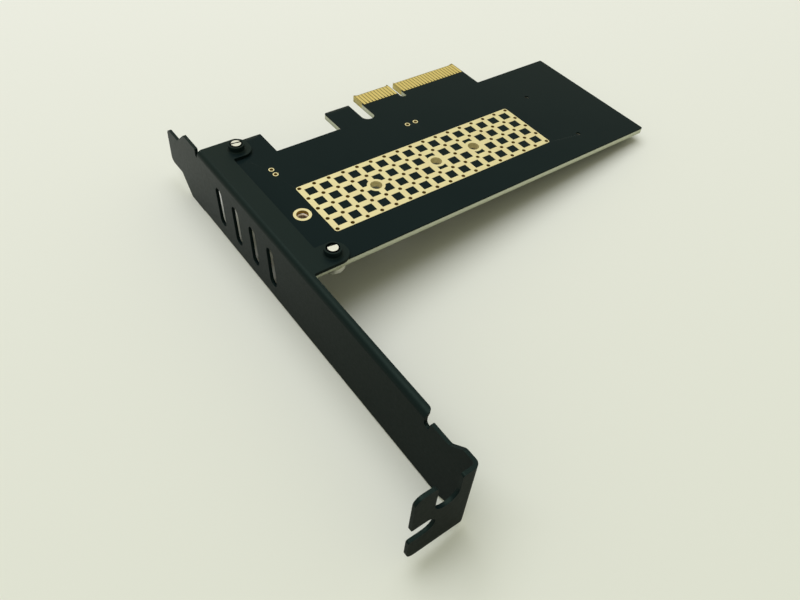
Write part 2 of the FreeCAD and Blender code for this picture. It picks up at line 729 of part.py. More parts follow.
def pin_passages():
    """Cutters for the slits in which each run of pins leaves the entry."""
    deep = MOUTH_X + ENTRY_DEPTH
    back = MOUTH_X + SOCKET_DEPTH
    half = PIN_WIDTH / 2 + PIN_CLEARANCE
    upper_z = ENTRY_Z - PIN_GAP / 2
    cutters = []
    for first, last in pin_groups(UPPER_PIN_COUNT):
        cutters.append(block(deep, back, first - half, last + half, upper_z - PIN_THICK, upper_z))
    for first, last in pin_groups(LOWER_PIN_COUNT):
        cutters.append(block(deep - PIN_THICK, deep, first - half, last + half, ENTRY_Z, COMPONENT_Z))
    return Part.makeCompound(cutters)


def socket_entry():
    """Flared slot for the drive's edge, split by the key web."""
    gap = ENTRY_HEIGHT / 2
    deep = MOUTH_X + ENTRY_DEPTH
    flared = MOUTH_X + ENTRY_FLARE
    section = [
        (MOUTH_X, ENTRY_Z - gap - ENTRY_FLARE, 0),
        (flared, ENTRY_Z - gap, 0),
        (deep, ENTRY_Z - gap, 0),
        (deep, ENTRY_Z + gap, 0),
        (flared, ENTRY_Z + gap, 0),
        (MOUTH_X, ENTRY_Z + gap + ENTRY_FLARE, 0),
    ]
    entry = prism(section, on_xz(DRIVE_LINE_Y - ENTRY_WIDTH / 2), Vector(0, ENTRY_WIDTH, 0))
    web_y = DRIVE_LINE_Y + KEY_WEB_OFFSET
    web = block(MOUTH_X, deep, web_y - KEY_WEB / 2, web_y + KEY_WEB / 2, LOWER_EDGE_Z, 0)
    return entry.cut(web)


def socket_housing():
    """Moulded housing that stands on its hold-downs, with two pegs in the board."""
    back = MOUTH_X + SOCKET_DEPTH
    base = COMPONENT_Z - HOLD_DOWN_THICK
    top = COMPONENT_Z - SOCKET_HEIGHT
    section = [
        (MOUTH_X, base, 0),
        (back, base, 0),
        (back, top + SOCKET_CHAMFER, 0),
        (back - SOCKET_CHAMFER, top, 0),
        (MOUTH_X, top, 0),
    ]
    housing = prism(section, on_xz(DRIVE_LINE_Y - SOCKET_WIDTH / 2), Vector(0, SOCKET_WIDTH, 0))
    pegs = [cylinder(PEG_DIAMETER, x, y, base, COMPONENT_Z + PEG_LENGTH) for x, y in peg_places()]
    housing = housing.multiFuse(pegs)
    return housing.cut(socket_entry()).cut(pin_passages())


def hold_down(side):
    """Bent metal foot at one end of the socket, soldered to the board."""
    end_y = DRIVE_LINE_Y + side * SOCKET_WIDTH / 2
    thick = HOLD_DOWN_THICK
    x0 = PEG_X + PEG_DIAMETER
    pad = block(x0, x0 + HOLD_DOWN_LENGTH, end_y - side * HOLD_DOWN_LAP, end_y + side * HOLD_DOWN_REACH,
                COMPONENT_Z - thick, COMPONENT_Z)
    leg = block(x0, x0 + HOLD_DOWN_LENGTH, end_y, end_y + side * thick,
                COMPONENT_Z - HOLD_DOWN_HEIGHT, COMPONENT_Z)
    return pad.fuse(leg).removeSplitter()


# ---------------------------------------------------------------- standoff
def drive_standoff():
    """Turned standoff under the end of the longest drive, with a pilot in the plated hole."""
    bore = STANDOFF_BORE / 2
    pilot = STANDOFF_PILOT / 2
    body = STANDOFF_DIAMETER / 2
    pilot_top = COMPONENT_Z + STANDOFF_PILOT_LENGTH
    low = COMPONENT_Z - FOIL - STANDOFF_HEIGHT
    seat = COMPONENT_Z - FOIL
    bevel = STANDOFF_CHAMFER
    outline = [
        (bore + bevel, pilot_top, 0), (pilot, pilot_top, 0), (pilot, seat, 0), (body, seat, 0),
        (body, low + bevel, 0), (body - bevel, low, 0), (bore + bevel, low, 0),
        (bore, low + bevel, 0), (bore, pilot_top - bevel, 0),
    ]
    standoff = Part.Face(rounded_wire(outline, on_xz(0))).revolve(Vector(0, 0, 0), Vector(0, 0, 1), 360)
    standoff.translate(Vector(STANDOFF_X, DRIVE_LINE_Y, 0))
    return standoff


# ---------------------------------------------------------------- chip parts
def chip(size, x, y):
    """Body between the two tinned ends of a chip part that lies along X under the board."""
    length, width, height = size
    inner = length / 2 - CHIP_END
    return block(x - inner, x + inner, y - width / 2, y + width / 2,
                 COMPONENT_Z - height, COMPONENT_Z - CHIP_END_WRAP)


def chip_ends(size, x, y):
    """The two tinned ends of a chip part."""
    length, width, height = size
    half = width / 2 + CHIP_END_WRAP
    low = COMPONENT_Z - height - CHIP_END_WRAP
    ends = []
    for side in (-1, 1):
        outer = x + side * length / 2
        ends.append(block(outer - side * CHIP_END, outer, y - half, y + half, low, COMPONENT_Z))
    return ends


def capacitor_places():
    """Row of decoupling capacitors beside the socket."""
    x, y = CAPACITOR_START
    return [(x + index * CAPACITOR_PITCH, y) for index in range(CAPACITOR_COUNT)]


def lamp_lens():
    """Clear block moulded over the lamp, with sloping ends."""
    x, y = LAMP_AT
    length, width, height = LAMP
    top = COMPONENT_Z - height
    half = length / 2 - CHIP_END
    section = [
        (x - half, top, 0),
        (x + half, top, 0),
        (x + half - LENS_SLOPE, top - LENS_HEIGHT, 0),
        (x - half + LENS_SLOPE, top - LENS_HEIGHT, 0),
    ]
    return prism(section, on_xz(y - width / 2), Vector(0, width, 0))


# ---------------------------------------------------------------- the whole card
def build_card():
    """All pieces by name."""
    lamp_holes, service_holes = header_places()
    ends = [end for x, y in capacitor_places() for end in chip_ends(CAPACITOR, x, y)]
    return {
        "circuit_board": circuit_board(),
        "thermal_grid": thermal_grid(),
        "edge_contacts_solder_side": edge_contacts(SOLDER_Z),
        "edge_contacts_component_side": edge_contacts(COMPONENT_Z - FOIL),
        "standoff_hole_plating": eyelet(STANDOFF_HOLE, STANDOFF_LAND, STANDOFF_X, DRIVE_LINE_Y),
        "lamp_header_holes": Part.makeCompound([eyelet(HEADER_HOLE, HEADER_LAND, x, y) for x, y in lamp_holes]),
        "service_header_holes": Part.makeCompound(
            [eyelet(HEADER_HOLE, HEADER_LAND, x, y) for x, y in service_holes]),
        "slot_bracket": slot_bracket(),
        "front_bracket_screw": bracket_screw(SCREW_YS[0]),
        "rear_bracket_screw": bracket_screw(SCREW_YS[1]),
        "socket_housing": socket_housing(),
        "socket_upper_pins": pin_row(upper_pin_section(), UPPER_PIN_COUNT),
        "socket_lower_pins": pin_row(lower_pin_section(), LOWER_PIN_COUNT),
        "socket_front_hold_down": hold_down(1),
        "socket_rear_hold_down": hold_down(-1),
        "drive_standoff": drive_standoff(),
        "capacitors": Part.makeCompound([chip(CAPACITOR, x, y) for x, y in capacitor_places()]),
        "capacitor_ends": Part.makeCompound(ends),
        "lamp_resistor": chip(RESISTOR, *RESISTOR_AT),
        "lamp_resistor_ends": Part.makeCompound(chip_ends(RESISTOR, *RESISTOR_AT)),
        "lamp_base": chip(LAMP, *LAMP_AT),
        "lamp_ends": Part.makeCompound(chip_ends(LAMP, *LAMP_AT)),
        "lamp_lens": lamp_lens(),
    }


os.makedirs("parts", exist_ok=True)
for piece_name, piece in build_card().items():
    save(piece_name, piece)
    print(piece_name, "solids", len(piece.Solids), "valid", piece.isValid(), "volume", round(piece.Volume, 3))
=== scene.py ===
"""Looks of an expansion card that carries one M.2 drive, dressed piece by piece."""

import logging
import math
from dataclasses import dataclass
from enum import Enum, IntEnum
from functools import cache

import bmesh
import bpy
from mathutils import Matrix, Vector


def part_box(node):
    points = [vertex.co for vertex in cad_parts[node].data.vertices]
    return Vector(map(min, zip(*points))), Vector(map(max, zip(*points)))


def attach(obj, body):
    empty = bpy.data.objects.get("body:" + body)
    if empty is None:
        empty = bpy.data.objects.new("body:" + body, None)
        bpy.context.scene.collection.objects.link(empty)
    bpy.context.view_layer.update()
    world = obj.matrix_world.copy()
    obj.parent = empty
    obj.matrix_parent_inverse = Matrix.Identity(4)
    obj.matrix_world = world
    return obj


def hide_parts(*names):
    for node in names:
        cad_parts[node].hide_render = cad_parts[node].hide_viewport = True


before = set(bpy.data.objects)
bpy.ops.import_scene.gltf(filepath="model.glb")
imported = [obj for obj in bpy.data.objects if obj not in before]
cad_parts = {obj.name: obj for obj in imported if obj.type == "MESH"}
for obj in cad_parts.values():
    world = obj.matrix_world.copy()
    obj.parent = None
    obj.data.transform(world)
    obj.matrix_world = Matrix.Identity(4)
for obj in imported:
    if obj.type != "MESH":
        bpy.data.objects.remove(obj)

LOG = logging.getLogger("card")
MM = 0.001
MERGE = 1e-7              # metres; points nearer than this are one
ROUND = 0.94              # a loop at least this part as long as its circle is a round hole
UPRIGHT = 0.2             # a face whose normal rises less than this is a wall
FLAT = math.radians(0.5)  # edges that turn less than this are part of one face
SHARP = math.radians(30)  # edges that turn more than this stay hard, and are softened
STRAIGHT = math.radians(0.2)   # lines that turn less than this are one line
NOISE_RANGE = (0.3, 0.7)  # between these lie nearly all values of a noise texture
WAVE_SCALE = 20           # a wave texture of this scale repeats once in a unit
BODY = "root"
UP = Vector((0, 0, 1))

Value = float | int | tuple | bpy.types.NodeSocket


class Slot(Enum):
    """Material slots of the record."""

    LAMINATE = "laminate"
    GOLD = "gold_plating"
    BRACKET = "black_steel"
    SCREW = "screw_steel"
    SOCKET = "socket_plastic"
    TIN = "tinned_metal"
    STANDOFF = "standoff_nickel"
    CAPACITOR = "capacitor_ceramic"
    RESISTOR = "resistor_ceramic"
    LAMP = "lamp_white"
    LENS = "lamp_lens"


class BoardFace(IntEnum):
    """Numbers of the board's finishes."""

    MASKED = 0
    WALL = 1
    BARE = 2
    BARE_WALL = 3


class GoldFace(IntEnum):
    """Numbers of the finishes of plated copper."""

    LAND = 0
    BARREL = 1
    WIDE_BARREL = 2


# ---------------------------------------------------------------- node helpers
def linear(code: str) -> tuple[float, float, float, float]:
    """Turns an sRGB hex colour to the linear one that a socket takes.

    Args:
        code: six hex digits, without a hash.

    Returns:
        Red, green, blue and full alpha.
    """
    parts = [int(code[i:i + 2], 16) / 255 for i in (0, 2, 4)]
    curve = [c / 12.92 if c <= 0.04045 else ((c + 0.055) / 1.055) ** 2.4 for c in parts]
    return (curve[0], curve[1], curve[2], 1.0)


def add_node(tree: bpy.types.NodeTree, kind: str, links: dict[str | int, Value] | None = None,
             **settings: object) -> bpy.types.Node:
    """Adds one node with its settings, and links or sets its inputs.

    Args:
        tree: node tree that gets the node.
        kind: Blender's name of the node's type.
        links: a socket or a plain value for each named input.
        settings: properties of the node itself.

    Returns:
        The new node.
    """
    node = tree.nodes.new(kind)
    for name, value in settings.items():
        setattr(node, name, value)
    for name, value in (links or {}).items():
        if isinstance(value, bpy.types.NodeSocket):
            tree.links.new(value, node.inputs[name])
        else:
            node.inputs[name].default_value = value
    return node


def blend(tree: bpy.types.NodeTree, factor: Value, first: Value, second: Value,
          kind: str = "FLOAT") -> bpy.types.NodeSocket:
    """Mixes two heights or two colours.

    Args:
        tree: node tree that gets the node.
        factor: 0 for the first alone, 1 for the second alone.
        first: one socket or value.
        second: the other.
        kind: FLOAT for heights, RGBA for colours.

    Returns:
        The socket that carries the mixture.
    """
    mix = add_node(tree, "ShaderNodeMix", {"Factor": factor, "A": first, "B": second}, data_type=kind)
    return mix.outputs["Result"]


def noise(tree: bpy.types.NodeTree, place: bpy.types.NodeSocket, size_mm: float,
          detail: float = 2.0) -> bpy.types.NodeSocket:
    """Adds a noise texture.

    Args:
        tree: node tree that gets the node.
        place: coordinates that it reads.
        size_mm: size of its features in millimetres.
        detail: number of finer octaves.

    Returns:
        The socket that carries the noise.
    """
    texture = add_node(tree, "ShaderNodeTexNoise", {
        "Vector": place, "Scale": per_metre(size_mm), "Detail": detail})
    return texture.outputs["Fac"]


def per_metre(size_mm: float) -> float:
    """Texture scale that gives features of this size in millimetres."""
    return 1.0 / (size_mm * MM)


# ---------------------------------------------------------------- finishes
@dataclass(frozen=True)
class Finish:
    """Base of every finish: a Principled surface whose patterns read Object coordinates.

    Attributes:
        name: the real finish.
        colour: sRGB hex of its main colour.
        shade: sRGB hex that the main colour wanders towards.
        patch: size in millimetres of the patches of shade.
        grain: size in millimetres of the finest relief.
        depth: height in millimetres of that relief.
        roughness: middle of the roughness range.
        spread: half of the roughness range.
        metallic: 0 for paint and plastic, up to 1 for metal.
    """

    name: str
    colour: str
    shade: str
    patch: float = 6.0
    grain: float = 0.3
    depth: float = 0.01
    roughness: float = 0.45
    spread: float = 0.05
    metallic: float = 0.0

    def colour_of(self, tree: bpy.types.NodeTree, place: bpy.types.NodeSocket) -> bpy.types.NodeSocket:
        """Colour that drifts between the two tones in soft patches.

        Args:
            tree: node tree of the material.
            place: Object coordinates.

        Returns:
            The socket that carries the colour.
        """
        cloud = noise(tree, place, self.patch, detail=4.0)
        return blend(tree, cloud, linear(self.colour), linear(self.shade), "RGBA")

    def relief_of(self, tree: bpy.types.NodeTree, place: bpy.types.NodeSocket) -> bpy.types.NodeSocket:
        """Height of the finest relief, from 0 to 1."""
        return noise(tree, place, self.grain, detail=3.0)

    def finish_shader(self, shader: bpy.types.Node) -> None:
        """Sets what only this finish has on the shader's own sockets."""

    def make(self) -> bpy.types.Material:
        """Builds the material.

        Returns:
            The finished material.
        """
        material = bpy.data.materials.new(self.name)
        material.use_nodes = True
        tree = material.node_tree
        tree.nodes.clear()
        place = add_node(tree, "ShaderNodeTexCoord").outputs["Object"]
        relief = self.relief_of(tree, place)
        least, most = NOISE_RANGE
        rough = add_node(tree, "ShaderNodeMapRange", {
            "Value": relief, "From Min": least, "From Max": most,
            "To Min": self.roughness - self.spread, "To Max": self.roughness + self.spread})
        bump = add_node(tree, "ShaderNodeBump", {
            "Height": relief, "Distance": self.depth * MM, "Strength": 1.0})
        shader = add_node(tree, "ShaderNodeBsdfPrincipled", {
            "Base Color": self.colour_of(tree, place), "Roughness": rough.outputs["Result"],
            "Metallic": self.metallic, "Normal": bump.outputs["Normal"]})
        self.finish_shader(shader)
        add_node(tree, "ShaderNodeOutputMaterial", {"Surface": shader.outputs["BSDF"]})
        return material


@cache
def material_of(finish: Finish) -> bpy.types.Material:
    """One material for each finish, however many pieces wear it."""
    return finish.make()


@dataclass(frozen=True)
class SolderMask(Finish):
    """Black liquid solder mask, screen coated and cured: satin, with the glass weave faintly under it.

    Attributes:
        weave: width in millimetres of a thread of the glass.
        weave_share: how far the weave shows through the flow marks.
        gloss: specular level, lower than clear plastic's because the epoxy is filled.
        tint: sRGB hex of the gloss, a painted reflection colour.
    """

    weave: float = 0.45
    weave_share: float = 0.25
    gloss: float = 0.05
    tint: str = "C4F0FF"

    def relief_of(self, tree: bpy.types.NodeTree, place: bpy.types.NodeSocket) -> bpy.types.NodeSocket:
        """Height of the coat: soft flow marks over a faint square weave.

        Args:
            tree: node tree of the material.
            place: Object coordinates.

        Returns:
            The socket that carries the height.
        """
        flow = super().relief_of(tree, place)
        threads = add_node(tree, "ShaderNodeTexVoronoi", {"Vector": place, "Scale": per_metre(self.weave),
                                                          "Randomness": 0.15}, distance="CHEBYCHEV")
        return blend(tree, self.weave_share, flow, threads.outputs["Distance"])

    def finish_shader(self, shader: bpy.types.Node) -> None:
        """A filled epoxy coat mirrors less than clear plastic does; its gloss is painted a little bluer, a
        painted reflection colour.
        """
        shader.inputs["Specular IOR Level"].default_value = self.gloss
        shader.inputs["Specular Tint"].default_value = linear(self.tint)


@dataclass(frozen=True)
class BareLaminate(Finish):
    """Routed glass-epoxy laminate, in plies that show as fine lines on a cut edge.

    Attributes:
        ply: thickness in millimetres of a ply.
        waver: how far the lines wander.
    """

    ply: float = 0.2
    waver: float = 1.5

    def relief_of(self, tree: bpy.types.NodeTree, place: bpy.types.NodeSocket) -> bpy.types.NodeSocket:
        """Height of the plies, one above the other through the board.

        Args:
            tree: node tree of the material.
            place: Object coordinates.

        Returns:
            The socket that carries the height.
        """
        plies = add_node(tree, "ShaderNodeTexWave", {
            "Vector": place, "Scale": per_metre(self.ply) / WAVE_SCALE, "Distortion": self.waver,
            "Detail Scale": 3.0}, bands_direction="Z")
        fibres = super().relief_of(tree, place)
        return blend(tree, 0.5, plies.outputs["Fac"], fibres)

    def colour_of(self, tree: bpy.types.NodeTree, place: bpy.types.NodeSocket) -> bpy.types.NodeSocket:
        """Paler resin between darker bundles of glass."""
        height = self.relief_of(tree, place)
        return blend(tree, height, linear(self.colour), linear(self.shade), "RGBA")


@dataclass(frozen=True)
class PowderCoat(Finish):
    """Black polyester powder, baked on steel: semi-matt, with a fine orange-peel skin.

    Attributes:
        pebble: size in millimetres of the swells of the skin.
        gloss: specular level, low because of carbon black and flatting agent.
        tint: sRGB hex of the gloss, a painted reflection colour.
    """

    pebble: float = 0.9
    gloss: float = 0.14
    tint: str = "D6FFDC"

    def finish_shader(self, shader: bpy.types.Node) -> None:
        """Carbon black and flatting agent leave the skin far less glossy than clear plastic; its gloss is
        painted green, a painted reflection colour.
        """
        shader.inputs["Specular IOR Level"].default_value = self.gloss
        shader.inputs["Specular Tint"].default_value = linear(self.tint)

    def relief_of(self, tree: bpy.types.NodeTree, place: bpy.types.NodeSocket) -> bpy.types.NodeSocket:
        """Height of the skin: small grains on broader swells."""
        grains = super().relief_of(tree, place)
        return blend(tree, 0.5, grains, noise(tree, place, self.pebble))


@dataclass(frozen=True)
class DrilledWall(Finish):
    """Gold on the copper wall of a drilled hole, with the drill's rings; each wall gets colours with
    painted shade in a narrow hole and painted light in a wide one.

    Attributes:
        ring: distance in millimetres from one ring to the next.
        waver: how far the rings wander.
    """

    ring: float = 0.12
    waver: float = 2.0

    def relief_of(self, tree: bpy.types.NodeTree, place: bpy.types.NodeSocket) -> bpy.types.NodeSocket:
        """Height of the rings that the drill left.

        Args:
            tree: node tree of the material.
            place: Object coordinates.

        Returns:
            The socket that carries the height.
        """
        rings = add_node(tree, "ShaderNodeTexWave", {
            "Vector": place, "Scale": per_metre(self.ring) / WAVE_SCALE, "Distortion": self.waver},
            bands_direction="Z")
        return rings.outputs["Fac"]


@dataclass(frozen=True)
class ClearResin(Finish):
    """Cast clear epoxy: glossy and slightly milky over the lamp's die.

    Attributes:
        passed: share of the light that goes through.
        bending: its index of refraction.
    """

    passed: float = 0.5
    bending: float = 1.52

    def finish_shader(self, shader: bpy.types.Node) -> None:
        """Lets part of the light through, as cast resin does."""
        shader.inputs["Transmission Weight"].default_value = self.passed
        shader.inputs["IOR"].default_value = self.bending


# Satin black-green: the card's two broad faces.
MASK = SolderMask("satin black solder mask", "121D1E", "162121", patch=22.0, grain=0.5, depth=0.001,
                  roughness=0.18, spread=0.04)
# Pale straw green, matt and finely layered: the routed edges below the lap of the mask.
LAMINATE = BareLaminate("routed glass epoxy laminate", "DCE0CC", "B0B498", grain=0.12, depth=0.01,
                        roughness=0.62, spread=0.08)
# Ochre, where the mask stops short and bare laminate shows between the contacts.
BARE_TONGUE = BareLaminate("bare laminate of the contact tongue", "9C8C46", "7C6E34", grain=0.12,
                           depth=0.01, roughness=0.6, spread=0.08)
# Painted light: the walls of the bare tongue are painted yellower than the other walls, for light that
# comes through the bare resin.
TONGUE_WALL_PAINTED_LIGHT = BareLaminate("wall of the bare contact tongue", "E6D684", "C0B064", grain=0.12, depth=0.01,
                           roughness=0.6, spread=0.08)
# Pale warm gold with a soft sheen, not a mirror, because the copper under it is etched.
IMMERSION_GOLD = Finish("immersion gold on etched copper", "EAE3AC", "E0CF9C", patch=3.0, grain=0.12,
                        depth=0.004, roughness=0.52, spread=0.06, metallic=0.45)
# Yellower and glossier than the immersion gold: the rubbed contacts.
CONTACT_GOLD = Finish("hard gold on contacts", "E6D283", "DCC470", patch=2.0, grain=0.1, depth=0.003,
                      roughness=0.42, spread=0.05, metallic=0.5)
# Painted shade: the plating painted browner and darker down in the holes.
HOLE_GOLD_PAINTED_SHADE = DrilledWall("gold plated drilled wall", "D0B25E", "A6863A", grain=0.1, depth=0.006,
                        roughness=0.42, spread=0.06, metallic=0.7)
# Painted light: the same plating painted paler and olive in a wide hole, where more light reaches it.
STEP_GOLD_PAINTED_LIGHT = DrilledWall("gold plated wall of a wide hole", "F6EDC0", "D6C27C", grain=0.1, depth=0.006,
                        roughness=0.5, spread=0.06, metallic=0.15)
# Near black, faintly green, with broad soft highlights along the folds.
POWDER = PowderCoat("black powder coat on steel", "0C1719", "0F1A1C", patch=9.0, grain=0.28, depth=0.01,
                    roughness=0.42, spread=0.05)
# White metal with small bright highlights.
ZINC = Finish("bright zinc plated steel", "F4F3E6", "E4E3D6", patch=0.8, grain=0.1, depth=0.002,
              roughness=0.36, spread=0.06, metallic=0.6)
# Painted shade: zinc painted dark on the thread and the sunk run-out, where shade lies between the crests.
THREAD_PAINTED_SHADE = Finish("zinc plated thread with painted shade", "3A3B36", "2A2B27", patch=0.8, grain=0.1, depth=0.003,
                roughness=0.4, spread=0.06, metallic=0.8)
# Warm grey metal of turned brass under nickel.
NICKEL = Finish("nickel plated turned brass", "F2E2D4", "E2D2C2", patch=1.2, grain=0.08, depth=0.003,
                roughness=0.4, spread=0.06, metallic=1.0)
# Dull black, with slight flow marks.
POLYMER = Finish("black moulded liquid crystal polymer", "191A1B", "202122", patch=4.0, grain=0.15,
                 depth=0.006, roughness=0.52, spread=0.07)
# Thin bright yellow lines: the rows of pins in the socket.
PIN_FLASH = Finish("gold flash on bronze pins", "DDBE72", "CBA75A", patch=0.6, grain=0.08, depth=0.002,
                   roughness=0.33, spread=0.06, metallic=1.0)
# Grey, crystalline and soft.
TIN = Finish("matt tin", "CFCFCA", "B4B4AF", patch=0.3, grain=0.08, depth=0.004, roughness=0.4,
             spread=0.08, metallic=1.0)
# Smooth and bright where solder has flowed.
SOLDER = Finish("reflowed solder", "D4D5D3", "BDBEBC", patch=0.5, grain=0.3, depth=0.006, roughness=0.24,
                spread=0.06, metallic=1.0)
# Dull brown between pale ends: the capacitors.
CERAMIC = Finish("fired capacitor ceramic", "94765A", "84664B", patch=0.4, grain=0.06, depth=0.003,
                 roughness=0.48, spread=0.06)
# Small and glossy black: the resistor.
GLAZE = Finish("black resistor glaze", "1B1C1E", "26272A", patch=0.4, grain=0.08, depth=0.002,
               roughness=0.22, spread=0.04)
# Matt white under the lens.
WHITE_BASE = Finish("white lamp laminate", "ECEBE4", "E2E1D8", patch=0.5, grain=0.08, depth=0.003,
                    roughness=0.5, spread=0.05)
# A clear yellowish drop that shows the white through it.
RESIN = ClearResin("clear cast resin", "F3EFD8", "ECE6C8", patch=0.6, grain=0.2, depth=0.001,
                   roughness=0.12, spread=0.03)


# ---------------------------------------------------------------- mesh helpers
def merged_copy(node: str) -> bmesh.types.BMesh:
    """Copies a CAD node's mesh and joins its loose triangles.

    Args:
        node: name of the CAD node.

    Returns:
        The joined copy.
    """
    bm = bmesh.new()
    bm.from_mesh(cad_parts[node].data)
    bmesh.ops.remove_doubles(bm, verts=bm.verts[:], dist=MERGE)
    return bm


def plain_copy(node: str) -> bmesh.types.BMesh:
    """Copies a CAD node's mesh with each flat face in one piece.

    Args:
        node: name of the CAD node.

    Returns:
        The copy.
    """
    bm = merged_copy(node)
    bmesh.ops.dissolve_limit(bm, angle_limit=FLAT, verts=bm.verts[:], edges=bm.edges[:])
    return bm


def everything(bm: bmesh.types.BMesh) -> list[bmesh.types.BMVert | bmesh.types.BMEdge | bmesh.types.BMFace]:
    """All corners, edges and faces of a mesh, as a cut wants them."""
    return bm.verts[:] + bm.edges[:] + bm.faces[:]


def level_section(node: str, height: float) -> bmesh.types.BMesh:
    """Cuts a copy of a CAD node level and keeps only the cut lines.

    Args:
        node: name of the CAD node.
        height: level of the cut, in metres.

    Returns:
        Closed loops of edges at that level.
    """
    bm = merged_copy(node)
    cut = bmesh.ops.bisect_plane(bm, geom=everything(bm), plane_co=UP * height, plane_no=UP)
    kept = {item for item in cut["geom_cut"] if isinstance(item, bmesh.types.BMEdge)}
    bmesh.ops.delete(bm, geom=bm.faces[:], context="FACES_ONLY")
    bmesh.ops.delete(bm, geom=[e for e in bm.edges if e not in kept], context="EDGES")
    bmesh.ops.delete(bm, geom=[v for v in bm.verts if not v.link_edges], context="VERTS")
    bmesh.ops.dissolve_limit(bm, angle_limit=STRAIGHT, verts=bm.verts[:], edges=bm.edges[:])
    return bm


def islands_of(bm: bmesh.types.BMesh) -> list[list[bmesh.types.BMVert]]:
    """Splits a mesh into its separate pieces, or loose edges into their loops.

    Args:
        bm: the mesh.

    Returns:
        The vertices of each piece or loop, in no order.
    """
    bm.verts.index_update()
    seen: set[int] = set()
    found = []
    for start in bm.verts:
        if start.index in seen:
            continue
        seen.add(start.index)
        island, waiting = [], [start]
        while waiting:
            vert = waiting.pop()
            island.append(vert)
            near = [e.other_vert(vert) for e in vert.link_edges]
            fresh = [v for v in near if v.index not in seen]
            seen.update(v.index for v in fresh)
            waiting += fresh
        found.append(island)
    return found


@dataclass
class Hole:
    """A round hole, in metres."""

    centre: Vector
    radius: float


def take_holes(bm: bmesh.types.BMesh) -> list[Hole]:
    """Takes the round loops out of a section, however few sides they were drawn with.

    Args:
        bm: mesh of closed loops of edges.

    Returns:
        The place and size of each loop that was round.
    """
    holes = []
    gone = []
    for loop in islands_of(bm):
        centre = sum((v.co for v in loop), Vector()) / len(loop)
        radius = max((v.co - centre).length for v in loop)
        length = sum(e.calc_length() for v in loop for e in v.link_edges) / 2
        if length > ROUND * math.tau * radius:
            holes.append(Hole(centre, radius))
            gone += loop
    bmesh.ops.delete(bm, geom=gone, context="VERTS")
    return holes


def draw_hole(bm: bmesh.types.BMesh, hole: Hole, radius: float, segments: int) -> None:
    """Draws a round loop.

    Args:
        bm: mesh that gets the loop.
        hole: its place.
        radius: its size in metres.
        segments: its number of sides.
    """
    bmesh.ops.create_circle(bm, segments=segments, radius=radius, matrix=Matrix.Translation(hole.centre))


def raise_sheet(bm: bmesh.types.BMesh, low: float, high: float) -> None:
    """Fills loops into one face with holes and gives it its thickness.

    Args:
        bm: mesh of closed loops at one level.
        low: height of the underside in metres.
        high: height of the top in metres.
    """
    bmesh.ops.triangle_fill(bm, use_beauty=True, use_dissolve=False, edges=bm.edges[:], normal=UP)
    for vert in bm.verts:
        vert.co.z = low
    grown = bmesh.ops.extrude_face_region(bm, geom=bm.faces[:])
    risen = [v for v in grown["geom"] if isinstance(v, bmesh.types.BMVert)]
    bmesh.ops.translate(bm, vec=UP * (high - low), verts=risen)
    bmesh.ops.recalc_face_normals(bm, faces=bm.faces[:])


def turned(points: list[tuple[float, float]], centre: Vector, segments: int = 48) -> bmesh.types.BMesh:
    """Turns a closed half section about an upright axis, as a lathe does.

    Args:
        points: corners of the half section as (radius, height) in metres.
        centre: point on the axis that the heights start from.
        segments: number of facets round.

    Returns:
        The turned ring.
    """
    bm = bmesh.new()
    verts = [bm.verts.new((radius, 0, height)) for radius, height in points]
    edges = [bm.edges.new((verts[i - 1], verts[i])) for i in range(len(verts))]
    bmesh.ops.spin(bm, geom=verts + edges, cent=(0, 0, 0), axis=UP, angle=math.tau, steps=segments,
                   use_merge=True)
    bmesh.ops.remove_doubles(bm, verts=bm.verts[:], dist=MERGE)
    bmesh.ops.recalc_face_normals(bm, faces=bm.faces[:])
    bmesh.ops.translate(bm, vec=centre, verts=bm.verts[:])
    return bm


def add_turned(bm: bmesh.types.BMesh, points: list[tuple[float, float]], centre: Vector,
               segments: int) -> list[bmesh.types.BMFace]:
    """Adds a turned ring to a mesh.

    Args:
        bm: mesh that gets the ring.
        points: corners of its half section as (radius, height) in metres.
        centre: point on the axis that the heights start from.
        segments: number of facets round.

    Returns:
        The ring's faces.
    """
    ring = turned(points, centre, segments)
    spare = bpy.data.meshes.new("ring")
    ring.to_mesh(spare)
    ring.free()
    start = len(bm.faces)
    bm.from_mesh(spare)
    bpy.data.meshes.remove(spare)
    bm.faces.ensure_lookup_table()
    bm.normal_update()
    return bm.faces[start:]


def soften(bm: bmesh.types.BMesh, width: float) -> None:
    """Rounds every sharp edge a little.

    Args:
        bm: closed mesh.
        width: width of the rounding in millimetres.
    """
    sharp = [e for e in bm.edges if len(e.link_faces) == 2 and e.calc_face_angle(0) > SHARP]
    bmesh.ops.bevel(bm, geom=sharp, offset=width * MM, offset_type="OFFSET", affect="EDGES",
                    segments=2, profile=0.5, material=-1, clamp_overlap=True)


def finish_piece(bm: bmesh.types.BMesh, name: str, finishes: list[Finish]) -> bpy.types.Object:
    """Makes a piece of a mesh, dresses it and puts it on the card.

    Args:
        bm: the finished mesh, which is freed.
        name: the piece's name.
        finishes: its finishes, in the order of its faces' material numbers.

    Returns:
        The new object.
    """
    for face in bm.faces:
        face.smooth = True
    mesh = bpy.data.meshes.new(name)
    bm.to_mesh(mesh)
    bm.free()
    mesh.set_sharp_from_angle(angle=SHARP)
    piece = bpy.data.objects.new(name, mesh)
    bpy.context.scene.collection.objects.link(piece)
    for finish in finishes:
        mesh.materials.append(material_of(finish))
    even = piece.modifiers.new("even_shading", "WEIGHTED_NORMAL")
    even.keep_sharp = True
    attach(piece, BODY)
    LOG.info("%s: %d faces", name, len(mesh.polygons))
    return piece


def dress(node: str, finish: Finish) -> None:
    """Gives a CAD node that stays in view its finish.

    Args:
        node: name of the CAD node.
        finish: what its surface is.
    """
    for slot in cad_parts[node].material_slots:
        slot.material = material_of(finish)
    LOG.info("%s: dressed", node)


